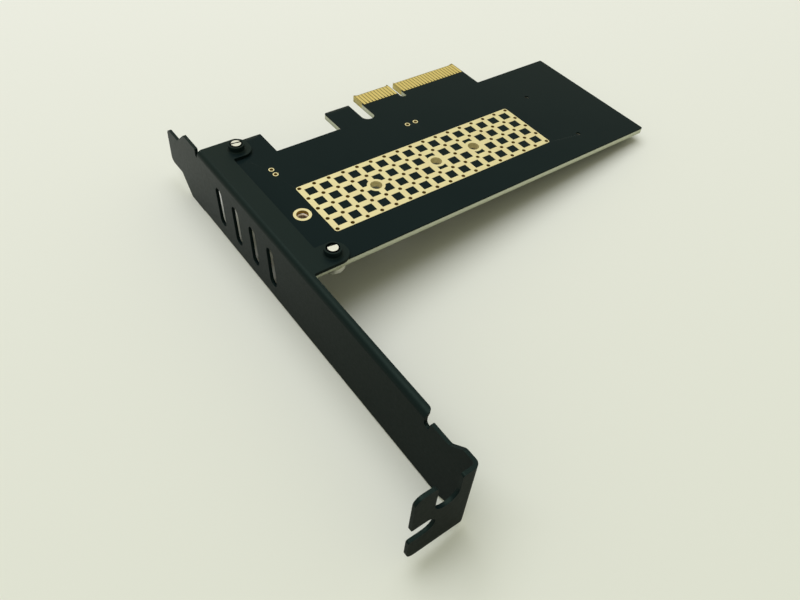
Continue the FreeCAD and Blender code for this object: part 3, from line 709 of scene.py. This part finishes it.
def refined(node: str, name: str, finish: Finish, edge: float) -> None:
    """Puts a copy of a CAD node with softened edges in its place.

    Args:
        node: name of the CAD node.
        name: name of the new piece.
        finish: what its surface is.
        edge: width of the softened edges in millimetres.
    """
    bm = plain_copy(node)
    soften(bm, edge)
    piece = finish_piece(bm, name, [finish])
    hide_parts(node)


# ---------------------------------------------------------------- sub-assemblies
@dataclass
class Board:
    """The bare board: laminate with a coat of solder mask on both faces. Sizes in millimetres.

    Attributes:
        lap: depth to which the mask runs down over the edge.
        mask_step: contact ends to the edge of the mask, towards the contact edge.
        bare_front: front contact to the front of the bare laminate.
        bare_rear: rear contact to the rear of it.
        bevel: chamfer on the contact edge.
        via_limit: largest radius that counts as a via.
        via_growth: by which a via is drilled wider in radius than its plated hole is modelled.
        fine: largest radius of a hole that is drawn with few sides.
        few_sides: sides of a small hole.
        many_sides: sides of a large hole.
    """

    lap: float = 0.35
    mask_step: float = 0.75
    bare_front: float = 0.5
    bare_rear: float = 1.0
    bevel: float = 0.4
    via_limit: float = 0.42
    via_growth: float = 0.14
    fine: float = 0.6
    few_sides: int = 20
    many_sides: int = 56

    def build(self) -> bmesh.types.BMesh:
        """Draws the outline and its holes from the CAD board, and gives them their thickness.

        Returns:
            The board, with its contact edge bevelled.
        """
        low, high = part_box("circuit_board")
        bm = level_section("circuit_board", 0.0)
        for hole in take_holes(bm):
            sides = self.few_sides if hole.radius < self.fine * MM else self.many_sides
            growth = self.via_growth * MM if hole.radius < self.via_limit * MM else 0
            draw_hole(bm, hole, hole.radius + growth, sides)
        raise_sheet(bm, low.z, high.z)
        edge_y = high.y - MERGE
        tongue = [e for e in bm.edges if all(v.co.y > edge_y for v in e.verts)
                  and abs(e.verts[0].co.z - e.verts[1].co.z) < MERGE]
        bmesh.ops.bevel(bm, geom=tongue, offset=self.bevel * MM, offset_type="OFFSET", affect="EDGES",
                        segments=1, profile=0.5, material=-1, clamp_overlap=False)
        return bm

    def mask_faces(self, bm: bmesh.types.BMesh) -> None:
        """Marks the walls below the lap of the mask, and the bare end of the tongue, as bare.

        Args:
            bm: the board's mesh, whose faces get their material numbers.
        """
        contacts_low, contacts_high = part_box("edge_contacts_solder_side")
        bare_y = contacts_low.y + self.mask_step * MM
        front, rear = contacts_low.x - self.bare_front * MM, contacts_high.x + self.bare_rear * MM
        lap_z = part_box("circuit_board")[1].z - self.lap * MM
        bmesh.ops.bisect_plane(bm, geom=everything(bm), plane_co=(0, bare_y, 0), plane_no=(0, 1, 0))
        bmesh.ops.bisect_plane(bm, geom=everything(bm), plane_co=UP * lap_z, plane_no=UP)
        for face in bm.faces:
            centre = face.calc_center_median()
            bare = centre.y > bare_y and front < centre.x < rear
            if abs(face.normal.z) < UPRIGHT and (centre.z < lap_z or bare):
                # Walls of the bare tongue get laminate with painted light.
                face.material_index = BoardFace.BARE_WALL if bare else BoardFace.WALL
            else:
                face.material_index = BoardFace.BARE if bare else BoardFace.MASKED

    def dress(self) -> None:
        """Puts the finished board in place of the CAD one."""
        bm = self.build()
        self.mask_faces(bm)
        piece = finish_piece(bm, "masked_board", [MASK, LAMINATE, BARE_TONGUE, TONGUE_WALL_PAINTED_LIGHT])
        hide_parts("circuit_board")


@dataclass
class Copper:
    """Bare gold-plated copper: thermal grid, contacts and plated holes. Sizes in millimetres.

    Attributes:
        plating: wall of a plated hole.
        via_growth: by which a via is wider in radius than it is modelled.
        window_growth: factor by which each window in the grid is opened.
        via_sides: facets round a via.
        hole_sides: facets round a step hole.
        small: largest radius that counts as a via.
        ring_cut: by which the gold land round a hole is narrower in radius than it is modelled.
    """

    plating: float = 0.05
    via_growth: float = 0.14
    window_growth: float = 1.06
    via_sides: int = 20
    hole_sides: int = 56
    small: float = 0.6
    ring_cut: float = 0.06

    def open_windows(self, bm: bmesh.types.BMesh) -> None:
        """Opens the square windows to the width that the mask leaves between the strips of gold.

        Args:
            bm: section of the grid, without its round holes.
        """
        loops = islands_of(bm)
        outline = max(loops, key=lambda loop: max(v.co.x for v in loop) - min(v.co.x for v in loop))
        for loop in loops:
            if loop is not outline:
                centre = sum((v.co for v in loop), Vector()) / len(loop)
                bmesh.ops.scale(bm, vec=(self.window_growth, self.window_growth, 1),
                                space=Matrix.Translation(-centre), verts=loop)

    def grid_holes(self, bm: bmesh.types.BMesh) -> list[Hole]:
        """Redraws the round holes of the grid, true to size inside their plating.

        Args:
            bm: section of the grid.

        Returns:
            The holes, for their plated walls.
        """
        holes = take_holes(bm)
        self.open_windows(bm)
        for hole in holes:
            if hole.radius < self.small * MM:
                hole.radius += self.via_growth * MM
            sides = self.via_sides if hole.radius < self.small * MM else self.hole_sides
            draw_hole(bm, hole, hole.radius - self.plating * MM, sides)
        return holes

    def add_walls(self, bm: bmesh.types.BMesh, holes: list[Hole]) -> None:
        """Lines each hole with its plated wall.

        Args:
            bm: the grid's mesh, which gets the walls.
            holes: place and drilled size of each hole.
        """
        board_low, board_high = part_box("circuit_board")
        for hole in holes:
            sides = self.via_sides if hole.radius < self.small * MM else self.hole_sides
            inner = hole.radius - self.plating * MM
            outline = [(inner, board_low.z), (hole.radius, board_low.z),
                       (hole.radius, board_high.z), (inner, board_high.z)]
            for face in add_turned(bm, outline, Vector((hole.centre.x, hole.centre.y, 0)), sides):
                small = hole.radius < self.small * MM
                # Narrow barrels get gold with painted shade, wide ones gold with painted light.
                face.material_index = GoldFace.BARREL if small else GoldFace.WIDE_BARREL

    def dress_grid(self) -> None:
        """Puts the finished grid, with its plated walls, in place of the CAD one."""
        low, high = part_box("thermal_grid")
        bm = level_section("thermal_grid", (low.z + high.z) / 2)
        holes = self.grid_holes(bm)
        raise_sheet(bm, low.z, high.z)
        self.add_walls(bm, holes)
        piece = finish_piece(bm, "gold_grid", [IMMERSION_GOLD, HOLE_GOLD_PAINTED_SHADE, STEP_GOLD_PAINTED_LIGHT])
        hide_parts("thermal_grid")

    def dress_eyelets(self, node: str) -> None:
        """Puts round eyelets, pale on the lands and painted brown with shade in the barrel, in place of the
        CAD ones.

        Args:
            node: name of the CAD node that holds the eyelets.
        """
        low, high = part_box(node)
        board_low, board_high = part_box("circuit_board")
        rings = take_holes(level_section(node, (board_high.z + high.z) / 2))
        rings.sort(key=lambda ring: ring.radius)
        bores, lands = rings[:len(rings) // 2], rings[len(rings) // 2:]
        bm = bmesh.new()
        for hole in bores:
            land = min(lands, key=lambda ring: (ring.centre - hole.centre).length)
            wide = land.radius - self.ring_cut * MM
            wall = hole.radius + self.plating * MM
            outline = [(hole.radius, low.z), (wide, low.z), (wide, board_low.z), (wall, board_low.z),
                       (wall, board_high.z), (wide, board_high.z), (wide, high.z), (hole.radius, high.z)]
            add_turned(bm, outline, Vector((land.centre.x, land.centre.y, 0)), self.hole_sides)
        for face in bm.faces:
            inside = board_low.z < face.calc_center_median().z < board_high.z
            barrel = inside and abs(face.normal.z) < UPRIGHT
            # The barrel gets gold with painted shade.
            face.material_index = GoldFace.BARREL if barrel else GoldFace.LAND
        piece = finish_piece(bm, f"gold_{node}", [IMMERSION_GOLD, HOLE_GOLD_PAINTED_SHADE])
        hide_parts(node)

    def dress(self) -> None:
        """Dresses the grid, both rows of contacts and the plated holes."""
        self.dress_grid()
        for side in ("solder", "component"):
            dress(f"edge_contacts_{side}_side", CONTACT_GOLD)
        for node in ("standoff_hole_plating", "lamp_header_holes", "service_header_holes"):
            self.dress_eyelets(node)


@dataclass
class SlotBracket:
    """The folded steel bracket. Sizes in millimetres.

    Attributes:
        edge: rounding that the powder coat gives a cut edge.
        flange_front: front screw to the front of the flange.
        front_band: half height of the band that holds the top edge of the plate.
        front_rise: by which that edge is raised.
        cut_band: depth, from the end of the bracket, that holds the end tab.
        cut_zone: least and greatest distance of the cut's foot from the tab's free side, and the same
            below the top of the bracket.
        cut_rise: by which the foot of the round cut is raised.
    """

    edge: float = 0.12
    flange_front: float = 3.95
    front_band: float = 0.45
    front_rise: float = 0.8
    cut_band: float = 1.2
    cut_zone: tuple[float, float, float, float] = (4.4, 10.3, 6.5, 10.0)
    cut_rise: float = 1.0

    def raise_front(self, bm: bmesh.types.BMesh) -> None:
        """Lifts the top of the plate between the tongue and the flange level with the flange.

        Args:
            bm: joined copy of the bracket.
        """
        screw_low, screw_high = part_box("front_bracket_screw")
        front_y = (screw_low.y + screw_high.y) / 2 + self.flange_front * MM
        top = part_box("circuit_board")[1].z
        moved = [v for v in bm.verts if v.co.y > front_y and abs(v.co.z - top) < self.front_band * MM]
        bmesh.ops.translate(bm, vec=UP * self.front_rise * MM, verts=moved)
        LOG.info("front of the plate: %d corners raised", len(moved))

    def raise_cut(self, bm: bmesh.types.BMesh) -> None:
        """Makes the round cut in the end tab shallower.

        Args:
            bm: joined copy of the bracket.
        """
        low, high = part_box("slot_bracket")
        near, far, upper, lower = self.cut_zone
        moved = [v for v in bm.verts if v.co.y < low.y + self.cut_band * MM
                 and near < (v.co.x - low.x) / MM < far and upper < (high.z - v.co.z) / MM < lower]
        bmesh.ops.translate(bm, vec=UP * self.cut_rise * MM, verts=moved)
        LOG.info("cut in the end tab: %d corners raised", len(moved))

    def dress(self) -> None:
        """Puts a copy with coated edges in place of the CAD bracket."""
        bm = plain_copy("slot_bracket")
        self.raise_front(bm)
        self.raise_cut(bm)
        soften(bm, self.edge)
        piece = finish_piece(bm, "coated_bracket", [POWDER])
        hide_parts("slot_bracket")


@dataclass
class BracketScrews:
    """The two pan-head screws, tips up. Sizes in millimetres.

    Attributes:
        edge: softening of the head's edges.
        cut: top of the screw down to where the modelled shank gives way to the thread.
        crest: radius of the thread's crest.
        root: radius of its root.
        tip: radius of the flat tip.
        pitch: from crest to crest.
        front_groove: near and far side of the run-out on the front tip, from its middle.
        rear_groove: the same of the rear tip.
        groove_depth: depth of the run-out.
        groove_across: direction across it, seen from above.
        lip: width of the run-out's steep side.
        skin: depth below the tip that still counts as its flat.
    """

    edge: float = 0.08
    cut: float = 1.6
    crest: float = 1.48
    root: float = 1.2
    tip: float = 1.18
    pitch: float = 0.5
    front_groove: tuple[float, float] = (-0.02, 0.38)
    rear_groove: tuple[float, float] = (0.5, 2.0)
    groove_depth: float = 0.4
    groove_across: tuple[float, float, float] = (0.15, 0.99, 0.0)
    lip: float = 0.04
    skin: float = 0.01

    def thread(self, centre: Vector) -> bmesh.types.BMesh:
        """Turns the end of the shank, with a crest at every pitch and a flat tip.

        Args:
            centre: middle of the tip.

        Returns:
            The threaded end.
        """
        outline = [(0.0, 0.0), (self.tip, 0.0), (self.tip, -self.pitch)]
        depth = self.pitch
        while depth + self.pitch <= self.cut:
            outline += [(self.crest, -depth - self.pitch / 2), (self.root, -depth - self.pitch)]
            depth += self.pitch
        outline += [(self.root, -self.cut), (0.0, -self.cut)]
        return turned([(r * MM, z * MM) for r, z in outline], centre)

    def sink(self, bm: bmesh.types.BMesh, centre: Vector, groove: tuple[float, float]) -> None:
        """Sinks the run-out of the thread into the tip.

        Args:
            bm: the threaded end.
            centre: middle of the tip.
            groove: near and far side of the run-out.
        """
        across = Vector(self.groove_across).normalized()
        near, far = groove
        flat = centre.z - self.skin * MM
        for offset in (near, near + self.lip, far - self.lip, far):
            top = [f for f in bm.faces if f.calc_center_median().z > flat]
            edges = [e for f in top for e in f.edges]
            verts = [v for f in top for v in f.verts]
            parts = dict.fromkeys(top + edges + verts)
            bmesh.ops.bisect_plane(bm, geom=list(parts), plane_co=centre + across * offset * MM,
                                   plane_no=across)
        sunk = [v for v in bm.verts if v.co.z > flat
                and near + self.lip / 2 < (v.co - centre).dot(across) / MM < far - self.lip / 2]
        bmesh.ops.translate(bm, vec=-UP * self.groove_depth * MM, verts=sunk)

    def dress(self) -> None:
        """Dresses both screws, each with a threaded end."""
        for end, groove in (("front", self.front_groove), ("rear", self.rear_groove)):
            node = f"{end}_bracket_screw"
            low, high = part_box(node)
            centre = Vector(((low.x + high.x) / 2, (low.y + high.y) / 2, high.z))
            bm = plain_copy(node)
            cut = bmesh.ops.bisect_plane(bm, geom=everything(bm), clear_outer=True,
                                         plane_co=centre - UP * self.cut * MM, plane_no=UP)
            rim = [e for e in cut["geom_cut"] if isinstance(e, bmesh.types.BMEdge)]
            bmesh.ops.holes_fill(bm, edges=rim, sides=0)
            soften(bm, self.edge)
            shank = finish_piece(bm, f"{end}_screw", [ZINC])
            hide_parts(node)
            end_piece = self.thread(centre)
            self.sink(end_piece, centre, groove)
            for face in end_piece.faces:
                # Faces below the flat tip, the thread and the sunk run-out, get zinc with painted shade.
                face.material_index = int(face.calc_center_median().z < centre.z - self.skin * MM)
            finish_piece(end_piece, f"{end}_screw_thread", [ZINC, THREAD_PAINTED_SHADE])


@dataclass
class DriveSocket:
    """The edge socket for the drive, with its pins and its solder tabs. Sizes in millimetres."""

    edge: float = 0.08

    def dress(self) -> None:
        """Dresses the housing, the pins and the hold-downs."""
        refined("socket_housing", "moulded_housing", POLYMER, self.edge)
        for row in ("upper", "lower"):
            dress(f"socket_{row}_pins", PIN_FLASH)
        for end in ("front", "rear"):
            refined(f"socket_{end}_hold_down", f"{end}_hold_down", TIN, self.edge / 2)


@dataclass
class Standoff:
    """The threaded standoff for the longest drive."""

    edge: float = 0.05

    def dress(self) -> None:
        """Dresses the standoff."""
        refined("drive_standoff", "turned_standoff", NICKEL, self.edge)


@dataclass
class ChipParts:
    """Capacitors, the lamp's resistor and the lamp. Sizes in millimetres."""

    edge: float = 0.05

    def dress(self) -> None:
        """Dresses every chip part and its soldered ends."""
        refined("capacitors", "capacitor_bodies", CERAMIC, self.edge)
        refined("capacitor_ends", "capacitor_caps", TIN, self.edge)
        refined("lamp_resistor", "resistor_body", GLAZE, self.edge)
        refined("lamp_resistor_ends", "resistor_caps", TIN, self.edge / 2)
        refined("lamp_base", "lamp_board", WHITE_BASE, self.edge / 2)
        refined("lamp_ends", "lamp_caps", TIN, self.edge / 2)
        refined("lamp_lens", "lamp_dome", RESIN, self.edge)


@dataclass
class SolderJoints:
    """Solder that has crept up the foot of every part on the component side. Sizes in millimetres.

    Attributes:
        pin_spread: solder round the foot of a pin.
        pin_rise: its height on a pin.
        chip_spread: solder round the end of a chip part or a hold-down.
        chip_share: share of a chip part's height that it climbs.
        close_share: share of the spread that is left at the top of a joint.
    """

    pin_spread: float = 0.08
    pin_rise: float = 0.12
    chip_spread: float = 0.22
    chip_share: float = 0.4
    close_share: float = 0.1

    def feet(self, node: str) -> list[tuple[Vector, Vector]]:
        """Finds the separate pieces of a node.

        Args:
            node: name of the CAD node.

        Returns:
            Lowest and highest corner of each.
        """
        bm = merged_copy(node)
        boxes = [(Vector([min(v.co[i] for v in island) for i in range(3)]),
                  Vector([max(v.co[i] for v in island) for i in range(3)])) for island in islands_of(bm)]
        bm.free()
        return boxes

    def joint(self, bm: bmesh.types.BMesh, low: Vector, high: Vector, spread: float, rise: float) -> None:
        """Adds the solder round one foot, wide on the board and close to the foot above.

        Args:
            bm: mesh that gets the joint.
            low: least corner of the foot.
            high: greatest corner of the foot.
            spread: solder round the foot.
            rise: its height.
        """
        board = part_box("circuit_board")[0].z
        middle = Vector(((low.x + high.x) / 2, (low.y + high.y) / 2, board - rise / 2))
        size = Vector((high.x - low.x, high.y - low.y, rise))
        base = size + Vector((2 * spread, 2 * spread, 0))
        close = size + Vector((2 * spread, 2 * spread, 0)) * self.close_share
        made = bmesh.ops.create_cube(bm, size=1.0)["verts"]
        bmesh.ops.scale(bm, vec=base, verts=made)
        bmesh.ops.translate(bm, vec=middle, verts=made)
        rim = [v for v in made if v.co.z < middle.z]
        bmesh.ops.scale(bm, vec=(close.x / base.x, close.y / base.y, 1), space=Matrix.Translation(-middle),
                        verts=rim)

    def dress(self) -> None:
        """Solders the pins, the hold-downs and the chip parts."""
        body_low, body_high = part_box("socket_housing")
        bm = bmesh.new()
        for low, high in self.feet("socket_upper_pins"):
            foot = Vector((body_high.x, low.y, low.z))
            self.joint(bm, foot, high, self.pin_spread * MM, self.pin_rise * MM)
        for low, high in self.feet("socket_lower_pins"):
            foot = Vector((body_low.x, high.y, high.z))
            self.joint(bm, low, foot, self.pin_spread * MM, self.pin_rise * MM)
        for node in ("socket_front_hold_down", "socket_rear_hold_down", "capacitor_ends",
                     "lamp_resistor_ends", "lamp_ends"):
            for low, high in self.feet(node):
                rise = (high.z - low.z) * self.chip_share
                self.joint(bm, low, high, self.chip_spread * MM, rise)
        finish_piece(bm, "solder_joints", [SOLDER])


# ---------------------------------------------------------------- studio
@dataclass(frozen=True)
class FloorPaper:
    """Pale matt paper under the card, painted darker towards the viewer and lighter behind the card:
    painted light.
    Gloss sees a painted reflection of it that falls off towards the viewer, where a studio is dark.

    Attributes:
        name: the real finish.
        near: sRGB hex of the paper towards the viewer, with painted shade.
        far: sRGB hex of the paper behind the card, with painted light.
        unlit: sRGB hex of the painted shade that gloss sees towards the viewer.
        away: direction from the viewer to the back.
        fade: where along it the paper goes from the near colour to the far one, in millimetres.
        gloss_fade: the same for the painted reflection that gloss sees, along the length of the bracket.
        roughness: of the paper.
    """

    name: str = "pale studio paper"
    near: str = "E0E3D6"
    far: str = "EEEFE8"
    unlit: str = "94968A"
    away: tuple[float, float, float] = (0.5, 0.87, 0.0)
    fade: tuple[float, float] = (-180.0, 140.0)
    gloss_fade: tuple[float, float] = (-80.0, 45.0)
    roughness: float = 0.9

    def make(self) -> bpy.types.Material:
        """Builds the paper.

        Returns:
            The finished material.
        """
        material = bpy.data.materials.new(self.name)
        material.use_nodes = True
        tree = material.node_tree
        tree.nodes.clear()
        place = add_node(tree, "ShaderNodeTexCoord").outputs["Object"]
        along = add_node(tree, "ShaderNodeVectorMath", {0: place, 1: self.away}, operation="DOT_PRODUCT")
        depth = add_node(tree, "ShaderNodeMapRange", {
            "Value": along.outputs["Value"], "From Min": self.fade[0] * MM, "From Max": self.fade[1] * MM})
        # Painted light: the paper is painted darker towards the viewer and lighter behind the card.
        painted_falloff = blend(tree, depth.outputs["Result"], linear(self.near), linear(self.far), "RGBA")
        split = add_node(tree, "ShaderNodeSeparateXYZ", {"Vector": place})
        beyond = add_node(tree, "ShaderNodeMapRange", {
            "Value": split.outputs["Y"], "From Min": self.gloss_fade[0] * MM,
            "From Max": self.gloss_fade[1] * MM}, interpolation_type="SMOOTHSTEP")
        # Painted reflection: what gloss sees is painted darker towards the viewer and along the bracket.
        painted_reflection = blend(tree, beyond.outputs["Result"], linear(self.unlit), linear(self.far), "RGBA")
        ray = add_node(tree, "ShaderNodeLightPath")
        seen = blend(tree, ray.outputs["Is Glossy Ray"], painted_falloff, painted_reflection, "RGBA")
        shader = add_node(tree, "ShaderNodeBsdfPrincipled", {
            "Base Color": seen, "Roughness": self.roughness, "Specular IOR Level": 0.0})
        add_node(tree, "ShaderNodeOutputMaterial", {"Surface": shader.outputs["BSDF"]})
        return material


@dataclass
class Studio:
    """Floor, lights and camera. Lengths in millimetres.

    Attributes:
        floor_size: side of the square floor.
        sky: radiance of the light all round, at mid level.
        sky_side: direction in which it is brightest, behind the card.
        sky_slope: share by which it is brighter there and darker towards the viewer.
        lamp_size: side of the square soft lamp.
        lamp_from: direction of the lamp from the card.
        lamp_distance: how far away it hangs.
        lamp_power: its power in watts.
        lamp_tint: its colour.
        sky_tint: colour of the light all round, warmer than the lamp's.
        camera_at: where the camera stands.
        camera_aim: point that it looks at.
        camera_roll: turn about its own line of sight, in degrees.
        focal_length: of its lens.
        sensor: width of its sensor.
        clip: nearest and farthest distance that it sees.
    """

    floor_size: float = 6000
    sky: float = 0.47
    sky_side: tuple[float, float, float] = (0.5, 0.87, 0.0)
    sky_slope: float = 0.3
    lamp_size: float = 2400
    lamp_from: tuple[float, float, float] = (-0.1, 0.25, 0.96)
    lamp_distance: float = 2500
    lamp_power: float = 49.0
    lamp_tint: tuple[float, float, float] = (0.88, 0.88, 1.0)
    sky_tint: tuple[float, float, float] = (1.0, 1.0, 0.74)
    camera_at: tuple[float, float, float] = (-111.32, -141.53, 108.69)
    camera_aim: tuple[float, float, float] = (-45.13, -65.90, 0.0)
    camera_roll: float = 6.4
    focal_length: float = 32.94
    sensor: float = 36.0
    clip: tuple[float, float] = (5.0, 20000.0)

    def lay_floor(self) -> None:
        """Lays the floor under the bracket's lower edge and the socket, on which the card leans."""
        bracket_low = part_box("slot_bracket")[0]
        face_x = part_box("circuit_board")[0].x
        socket_low, socket_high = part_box("socket_housing")
        slope = math.atan2(socket_low.z - bracket_low.z, socket_high.x - face_x)
        bm = bmesh.new()
        bmesh.ops.create_grid(bm, x_segments=1, y_segments=1, size=self.floor_size * MM / 2)
        bmesh.ops.rotate(bm, cent=(0, 0, 0), matrix=Matrix.Rotation(-slope, 3, "Y"), verts=bm.verts[:])
        bmesh.ops.translate(bm, vec=(face_x, 0, bracket_low.z), verts=bm.verts[:])
        mesh = bpy.data.meshes.new("floor")
        bm.to_mesh(mesh)
        bm.free()
        mesh.materials.append(FloorPaper().make())
        floor = bpy.data.objects.new("floor", mesh)
        bpy.context.scene.collection.objects.link(floor)

    def hang_lamp(self) -> None:
        """Hangs one large soft lamp over the card."""
        light = bpy.data.lights.new("overhead_lamp", "AREA")
        light.shape = "SQUARE"
        light.size = self.lamp_size * MM
        light.energy = self.lamp_power
        light.color = self.lamp_tint
        lamp = bpy.data.objects.new("overhead_lamp", light)
        bpy.context.scene.collection.objects.link(lamp)
        away = Vector(self.lamp_from).normalized()
        lamp.location = Vector(self.camera_aim) * MM + away * self.lamp_distance * MM
        lamp.rotation_euler = away.to_track_quat("Z", "Y").to_euler()

    def light_sky(self) -> None:
        """Sets the light of the room, which falls off towards the viewer."""
        world = bpy.data.worlds.new("room")
        bpy.context.scene.world = world
        world.use_nodes = True
        tree = world.node_tree
        way = add_node(tree, "ShaderNodeTexCoord").outputs["Generated"]
        side = Vector(self.sky_side).normalized()
        along = add_node(tree, "ShaderNodeVectorMath", {0: way, 1: tuple(side)}, operation="DOT_PRODUCT")
        level = add_node(tree, "ShaderNodeMapRange", {"Value": along.outputs["Value"], "From Min": -1.0,
                                                      "To Min": self.sky * (1 - self.sky_slope),
                                                      "To Max": self.sky * (1 + self.sky_slope)})
        sky = tree.nodes["Background"]
        sky.inputs["Color"].default_value = (*self.sky_tint, 1)
        tree.links.new(level.outputs["Result"], sky.inputs["Strength"])

    def place_camera(self) -> None:
        """Places the camera and makes it the scene's."""
        data = bpy.data.cameras.new("camera")
        data.sensor_width = self.sensor
        data.lens = self.focal_length
        data.clip_start, data.clip_end = (distance * MM for distance in self.clip)
        camera = bpy.data.objects.new("camera", data)
        bpy.context.scene.collection.objects.link(camera)
        at = Vector(self.camera_at) * MM
        line = Vector(self.camera_aim) * MM - at
        level = line.to_track_quat("-Z", "Y").to_matrix().to_4x4()
        roll = Matrix.Rotation(math.radians(self.camera_roll), 4, "Z")
        camera.matrix_world = Matrix.Translation(at) @ level @ roll
        bpy.context.scene.camera = camera

    def build(self) -> None:
        """Sets up the whole studio."""
        bpy.context.scene.view_settings.view_transform = "Standard"
        self.lay_floor()
        self.hang_lamp()
        self.light_sky()
        self.place_camera()


def main() -> None:
    """Dresses every sub-assembly, then sets up the studio round the card."""
    logging.basicConfig(level=logging.INFO, format="%(message)s")
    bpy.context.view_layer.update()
    for part in (Board(), Copper(), SlotBracket(), BracketScrews(), DriveSocket(), Standoff(), ChipParts(),
                 SolderJoints()):
        part.dress()
    Studio().build()


if __name__ == "__main__":
    main()
